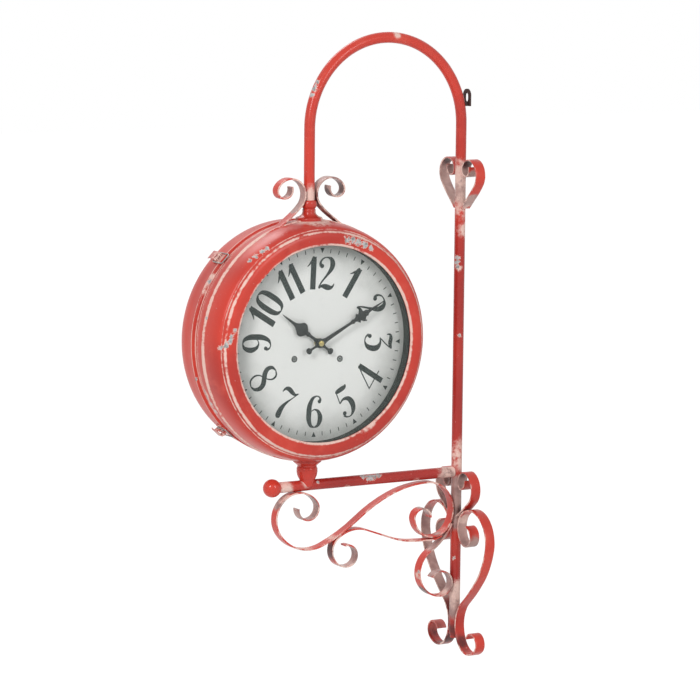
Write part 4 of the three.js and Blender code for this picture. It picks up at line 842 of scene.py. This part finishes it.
def printed_face():
    """Numerals, hour marks and minute ticks as thin inked shapes."""
    face = bmesh.new()
    for hour in range(1, 13):
        cell = bmesh.new()
        digits = [NUMERALS[digit] for digit in str(hour)]
        widths = [width for width, _, _ in digits]
        left = -(sum(widths) + NUMERAL_GAP * (len(widths) - 1)) / 2 * DIGIT_STRETCH
        for width, strokes, dots in digits:
            for layer, stroke in enumerate(strokes):
                line = [
                    (left + x * DIGIT_STRETCH, y - NUMERAL_CELL / 2,
                     half * STROKE_WEIGHT + HAIRLINE)
                    for x, y, half in stroke]
                pen(cell, line, STROKE_LIFT * layer)
            for x, y, radius in dots:
                middle = left + x * DIGIT_STRETCH, y - NUMERAL_CELL / 2
                dot(cell, *middle, radius * STROKE_WEIGHT, DOT_LIFT)
            left += (width + NUMERAL_GAP) * DIGIT_STRETCH
        upside = pi if 4 <= hour <= 8 else 0
        turn = radians(30 * hour + PRINT_TURN)
        place = (
            Matrix.Rotation(turn, 4, "Y") @ Matrix.Translation((0, PRINT_LIFT, NUMERAL_CIRCLE))
            @ Matrix.Rotation(upside, 4, "Y") @ Matrix.Scale(NUMERAL_HEIGHT / NUMERAL_CELL, 4))
        bmesh.ops.transform(cell, matrix=place, verts=cell.verts)
        data = bpy.data.meshes.new("numeral")
        cell.to_mesh(data)
        cell.free()
        face.from_mesh(data)
        bpy.data.meshes.remove(data)
    for minute in range(60):
        turn = Matrix.Rotation(radians(6 * minute + PRINT_TURN), 3, "Y")
        half, outer, inner = MINUTE_TICK if minute % 5 else HOUR_MARK
        tips = (half, -half) if minute % 5 else (0,)
        corners = [(-half, outer), (half, outer), *[(tip, inner) for tip in tips]]
        face.faces.new([face.verts.new(turn @ Vector((x, PRINT_LIFT, z))) for x, z in corners])
    return face


WINDING_CIRCLE = 53
WINDING_HOLES = {"left": -119, "right": 125}
EYELET_PROFILE = [
    (0, -35.9), (1.5, -35.9, 0.2), (1.6, -35.2), (3.4, -35.2), (3.5, -36, 0.3), (4.3, -36.3, 0.3),
    (5.4, -36, 0.4), (5.6, -35.05), (0, -35.05)]
for side, (body, place) in SIDES.items():
    disc = turned([(4.5, -35, 0.2), (189, -35, 0.3), (189, -33.5), (4.5, -33.5)], 120)
    finished(disc, f"{side}_dial", body, dial.material, place)
    finished(printed_face(), f"{side}_numerals", body, ink.material, place,
             stands_for=[])
    for hole, degrees in WINDING_HOLES.items():
        angle = radians(degrees)
        spot = place @ Matrix.Translation(Vector((sin(angle), 0, cos(angle))) * WINDING_CIRCLE)
        hub = (spot @ Vector((0, -35.5, 0))) * MM
        dull = Recipe(f"{side}_eyelet_{hole}_finish", Metallic=0.4, Roughness=0.45)
        away = dull.vector("DISTANCE", dull.place, hub).outputs["Value"]
        tarnish = dull.step(dull.noise(300), 0.4, 0.7, 0.0, 0.5)
        well = dull.blend(tarnish, shade(168, 172, 168), shade(120, 124, 120))
        rim = dull.blend(tarnish, shade(64, 66, 64), shade(96, 98, 94))
        tone = dull.blend(dull.step(away, 0.0015, 0.0019), shade(30, 32, 32), well)
        dull.link("Base Color", dull.blend(dull.step(away, 0.0032, 0.0036), tone, rim))
        finished(turned(EYELET_PROFILE, 40, False), f"{side}_winding_eyelet_{hole}", body,
                 dull.material, spot, stands_for=[])

# ---- movements ----
# Each dial has a boxed quartz movement behind it, with a central nut, an AA cell in its bay
# and a knob on the back that sets the hands. They are seen when the drum is opened.

plastic = Recipe("movement_plastic", Base_Color=shade(38, 38, 40))
plastic.rough(plastic.noise(60), 0.42, 0.58)
plastic.bump(plastic.noise(900, 3), 0.25, 0.0002)
cell_wrap = Recipe("battery_wrap", Roughness=0.3)
lengthwise = cell_wrap.add("ShaderNodeSeparateXYZ", [(0, cell_wrap.place)]).outputs["X"]
from_middle = cell_wrap.math("ABSOLUTE", cell_wrap.math("ADD", lengthwise, -DRUM_PLACE.x), 0)
bare_end = cell_wrap.step(from_middle, 0.0212, 0.0214)
faded = cell_wrap.step(cell_wrap.noise(40), 0.4, 0.7, 0.0, 0.3)
green = cell_wrap.blend(faded, shade(79, 125, 74), shade(52, 92, 52))
cell_wrap.link("Base Color", cell_wrap.blend(bare_end, green, shade(196, 196, 190)))
cell_wrap.link("Metallic", bare_end)
brass = metal("brass", shade(214, 204, 150), shade(176, 160, 104), 0.3)
BATTERY_PLACE = Matrix.Translation((0, -23.5, -16)) @ Matrix.Rotation(-pi / 2, 4, "Z")
KNOB_PLACE = Matrix.Translation((0, 0, 16))
for side, (body, place) in SIDES.items():
    finished(eased(f"{side}_movement", 0.8), f"{side}_movement", body,
             plastic.material)
    nut = turned([(4.5, -37.6), (7.4, -37.6, 0.4), (8, -37, 0.3), (8, -35.3), (4.5, -35.3)], 6)
    finished(nut, f"{side}_movement_nut", body, brass, place, 25)
    cell = turned([
        (0, -24.5), (6.6, -24.5, 0.6), (7, -23.8, 0.4), (7, 22, 0.8), (6, 22.6, 0.4), (2.8, 22.8),
        (2.7, 24.5, 0.4), (0, 24.5)], 40, False)
    finished(cell, f"{side}_battery", body, cell_wrap.material, place @ BATTERY_PLACE)
    knob = turned([
        (0, -22.2), (2, -22.2), (2, -15.9), (5.4, -15.9, 0.4), (6, -15.3, 0.3), (6, -11.6, 0.8),
        (0, -10.9)], 40, False)
    finished(knob, f"{side}_setting_knob", f"{side}_setting_knob",
             plastic.material, place @ KNOB_PLACE)

# ---- hands ----
# Blanked from sheet and painted black: an hour hand with a spade and a minute hand with a
# barbed leaf, both with a round weight on the tail. A small brass nut holds them.

HAND_THICKNESS = 1.5
# Along a hand: (place from the spindle, half the width). Both have the same tail.
TAIL = [(-30.6, 1.5), (-30.2, 3), (-28.5, 4.8), (-26, 5.6), (-23.5, 4.8), (-21.4, 2.6), (-19, 1.9)]
# Each hand's front face, its angle from twelve, and its outline past the tail.
HANDS = {
    "hour": (-42.2, -54, [
        (-12, 2.2), (-7.5, 4.6), (-4, 7.6), (0, 8.4), (4, 7.6), (8, 4.6), (13, 2.7), (24, 2.4),
        (27.5, 4.2), (31, 3.2), (34, 6.5), (39, 11.4), (43, 12.4), (47, 11.6), (51, 8.2),
        (56, 4.8), (62, 2.6), (74, 1.9), (90.3, 0.5)]),
    "minute": (-45.7, 62, [
        (-12, 2), (-7.5, 4), (-3.5, 7), (0, 7.8), (3.5, 7), (9, 4.6), (16, 3.6), (40, 2.9),
        (66, 2.3), (72, 4.2), (75, 3), (79, 3.8), (83.5, 8.8), (86, 6), (90, 8.6), (95, 9),
        (99, 5.2), (103, 5.6), (108, 2.6), (120, 1.8), (141.2, 0.5)]),
}
hand_paint = Recipe("hand_paint")
hand_tone = hand_paint.step(hand_paint.noise(120), 0.4, 0.75, 0.0, 0.6)
hand_paint.link("Base Color", hand_paint.blend(hand_tone, shade(26, 27, 27), shade(48, 50, 49)))
hand_paint.rough(hand_paint.noise(300), 0.4, 0.6)
hand_paint.bump(hand_paint.noise(600, 3), 0.15, 0.0002)
spindle_steel = metal("spindle_steel", shade(180, 180, 176), shade(140, 140, 136), 0.3)
for side, (body, place) in SIDES.items():
    for kind, (front, angle, line) in HANDS.items():
        blank = bmesh.new()
        pen(blank, [(0, along, half) for along, half in TAIL + line], front, 5)
        plate = bmesh.ops.extrude_face_region(blank, geom=blank.faces[:])["geom"]
        back = [g for g in plate if isinstance(g, bmesh.types.BMVert)]
        bmesh.ops.translate(blank, verts=back, vec=(0, HAND_THICKNESS, 0))
        rim = [
            e for e in blank.edges
            if len(e.link_faces) == 2 and e.calc_face_angle(0) > radians(60)
            and abs(e.verts[0].co.y - e.verts[1].co.y) < 0.01]
        rounded(blank, rim, 0.25, 2)
        turn = Matrix.Rotation(radians(angle), 4, "Y")
        finished(blank, f"{side}_{kind}_hand", f"{side}_{kind}_hand",
                 hand_paint.material, place @ turn)
    sleeve = turned([(1.9, -42.3), (2.9, -42.3, 0.2), (2.9, -28.2), (1.9, -28.2)], 32)
    finished(sleeve, f"{side}_hour_tube", f"{side}_hour_hand", brass, place)
    arbor = turned([(0, -47.7), (1.6, -47.7), (1.6, -24.2), (0, -24.2)], 32, False)
    finished(arbor, f"{side}_minute_arbor", f"{side}_minute_hand", spindle_steel, place)
    hand_nut = turned([
        (0, -49.5), (2.6, -49.5, 0.6), (3.4, -48.9, 0.4), (4.6, -48.7, 0.5), (5, -47.9, 0.3),
        (5, -46), (1.9, -46), (1.9, -47.4), (0, -47.4)], 40, False)
    finished(hand_nut, f"{side}_hand_nut", f"{side}_minute_hand", brass, place)

# ---- hinge ----
# A butt hinge on the wall side of the drum: two leaves riveted to the shells, with their
# knuckles on a headed steel pin. The leaves are painted with the drum.

HINGE_AXIS = (214.4, 27, 0)
hinge_paint = paint("hinge_paint", dust=0.25, rubs=[(-103.4, 27, -395, 20), (-100, 30, -430, 15)])
finished(eased("hinge_leaf_front", 0.4), "hinge_leaf_front", FIXED, hinge_paint)
finished(eased("hinge_leaf_rear", 0.4), "hinge_leaf_rear", "rear_half", hinge_paint)
pin = turned([
    (0, -20), (2.5, -20, 0.5), (2.5, 20.3), (4, 20.3), (4, 22.3, 0.8), (0, 22.3)], 32, False, "Z")
finished(pin, "hinge_pin", FIXED, bolt_steel, DRUM @ Matrix.Translation(HINGE_AXIS))

# ---- toggle latches ----
# Two draw latches across the seam on the free side. Base and lever are pressed from sheet
# and rubbed nearly bare, the wire loop hooks over a small catch on the front shell.

latch_paint = paint("latch_paint", dust=0.55, rubs=[
    (-470.3, 46, -263.7, 30), (-460, 30, -270, 20), (-461, 46, -567, 30),
    (-450, 30, -560, 20)])
LATCH_ANGLES = {"upper": -46, "lower": -137.5}
LOOP_HEIGHT = 211
LOOP_START = (-5.9, 52)
WIRE_RADIUS = 1
LOOP_CORNER = (2.5, 90)
LOOP_SIDE = (28, 0)
HALF_PIVOT_BAR = (1.9, 0)
CATCH_BAR = (15.4, 0)
for level, degrees in LATCH_ANGLES.items():
    bodies = {"base": "rear_half", "catch": FIXED, "lever": f"{level}_latch_lever"}
    for part, body in bodies.items():
        pressed = eased(f"{level}_latch_{part}", 0.6 if part == "lever" else 0.4)
        finished(pressed, f"{level}_latch_{part}", body, latch_paint)
    wire = bent(round_outline(WIRE_RADIUS, 12), LOOP_START, 180, [
        HALF_PIVOT_BAR, LOOP_CORNER, LOOP_SIDE, LOOP_CORNER, CATCH_BAR,
        LOOP_CORNER, LOOP_SIDE, LOOP_CORNER, HALF_PIVOT_BAR], step=10)
    round_to_latch = Matrix.Rotation(radians(degrees), 4, "Y")
    loop_place = DRUM @ round_to_latch @ Matrix.Translation((0, 0, LOOP_HEIGHT))
    finished(wire, f"{level}_latch_loop", f"{level}_latch_loop", bolt_steel, loop_place)

# ---- floor, lamps and camera ----
# The clock hangs over a plain white floor in soft studio light. The camera stands where
# the photograph was taken from.

FLOOR_HEIGHT = -1.25
WHITE = (1, 1, 1, 1)


def picture_rays(tree):
    """One for what the camera, a reflection or the glass shows, nought for light that falls."""
    rays = tree.nodes.new("ShaderNodeLightPath").outputs
    either = rays["Is Camera Ray"]
    for kind in ("Is Glossy Ray", "Is Transmission Ray"):
        largest = tree.nodes.new("ShaderNodeMath")
        largest.operation = "MAXIMUM"
        tree.links.new(either, largest.inputs[0])
        tree.links.new(rays[kind], largest.inputs[1])
        either = largest.outputs[0]
    return either


floor_mesh = bmesh.new()
bmesh.ops.create_grid(floor_mesh, x_segments=1, y_segments=1, size=14)
bmesh.ops.translate(floor_mesh, verts=floor_mesh.verts, vec=(0, 0, FLOOR_HEIGHT))
floor_data = bpy.data.meshes.new("floor")
floor_mesh.to_mesh(floor_data)
floor_mesh.free()
floor = shown("floor", floor_data)
floor_white = Recipe("floor_white", Base_Color=(0.86, 0.86, 0.86, 1), Roughness=0.9)
bright = floor_white.add("ShaderNodeEmission", [("Color", WHITE), ("Strength", 1.2)])
share = floor_white.math("MULTIPLY", picture_rays(floor_white.tree), 0.8)
mixed = floor_white.add("ShaderNodeMixShader", [
    (0, share), (1, floor_white.shader.outputs[0]), (2, bright.outputs[0])])
output = next(n for n in floor_white.tree.nodes if n.type == "OUTPUT_MATERIAL")
floor_white.tree.links.new(mixed.outputs[0], output.inputs["Surface"])
floor_data.materials.append(floor_white.material)

world = bpy.data.worlds.new("studio")
world.use_nodes = True
bpy.context.scene.world = world
sky = world.node_tree
fill = sky.nodes["Background"]
white = sky.nodes.new("ShaderNodeBackground")
for light, strength in ((fill, 0.4), (white, 1.0)):
    light.inputs["Color"].default_value = WHITE
    light.inputs["Strength"].default_value = strength
backdrop = sky.nodes.new("ShaderNodeMixShader")
for socket, source in enumerate((picture_rays(sky), fill.outputs[0], white.outputs[0])):
    sky.links.new(source, backdrop.inputs[socket])
sky.links.new(backdrop.outputs[0], sky.nodes["World Output"].inputs["Surface"])

CLOCK_MIDDLE = Vector((-0.26, 0, -0.43))


def lamp(name, place, width, height, watts):
    light = bpy.data.lights.new(name, "AREA")
    light.shape = "RECTANGLE"
    light.size = width
    light.size_y = height
    light.energy = watts
    holder = shown(name, light)
    holder.location = place
    holder.rotation_euler = (CLOCK_MIDDLE - Vector(place)).to_track_quat("-Z", "Y").to_euler()


lamp("key_lamp", (-3.4, -2.2, 1.6), 0.6, 1.8, 84)
lamp("front_lamp", (0.9, -4.2, 1.2), 0.6, 1.8, 44)
lamp("top_lamp", (-0.4, 2.6, 2.6), 1.6, 1.6, 40)

SENSOR = 36
FRAME = 700
FOCAL_LENGTH = 3500
camera_data = bpy.data.cameras.new("camera")
camera_data.sensor_width = SENSOR
camera_data.lens = FOCAL_LENGTH / FRAME * SENSOR
camera_data.clip_end = 60
camera = shown("camera", camera_data)
right = Vector((0.8663, -0.49943, 0.00925))
look = Vector((0.49571, 0.85727, -0.13917))
facing = Matrix((right, right.cross(look), -look)).transposed().to_4x4()
camera.matrix_world = Matrix.Translation((-3.2499, -5.2157, 0.4134)) @ facing
bpy.context.scene.camera = camera
bpy.context.scene.view_settings.view_transform = "Standard"
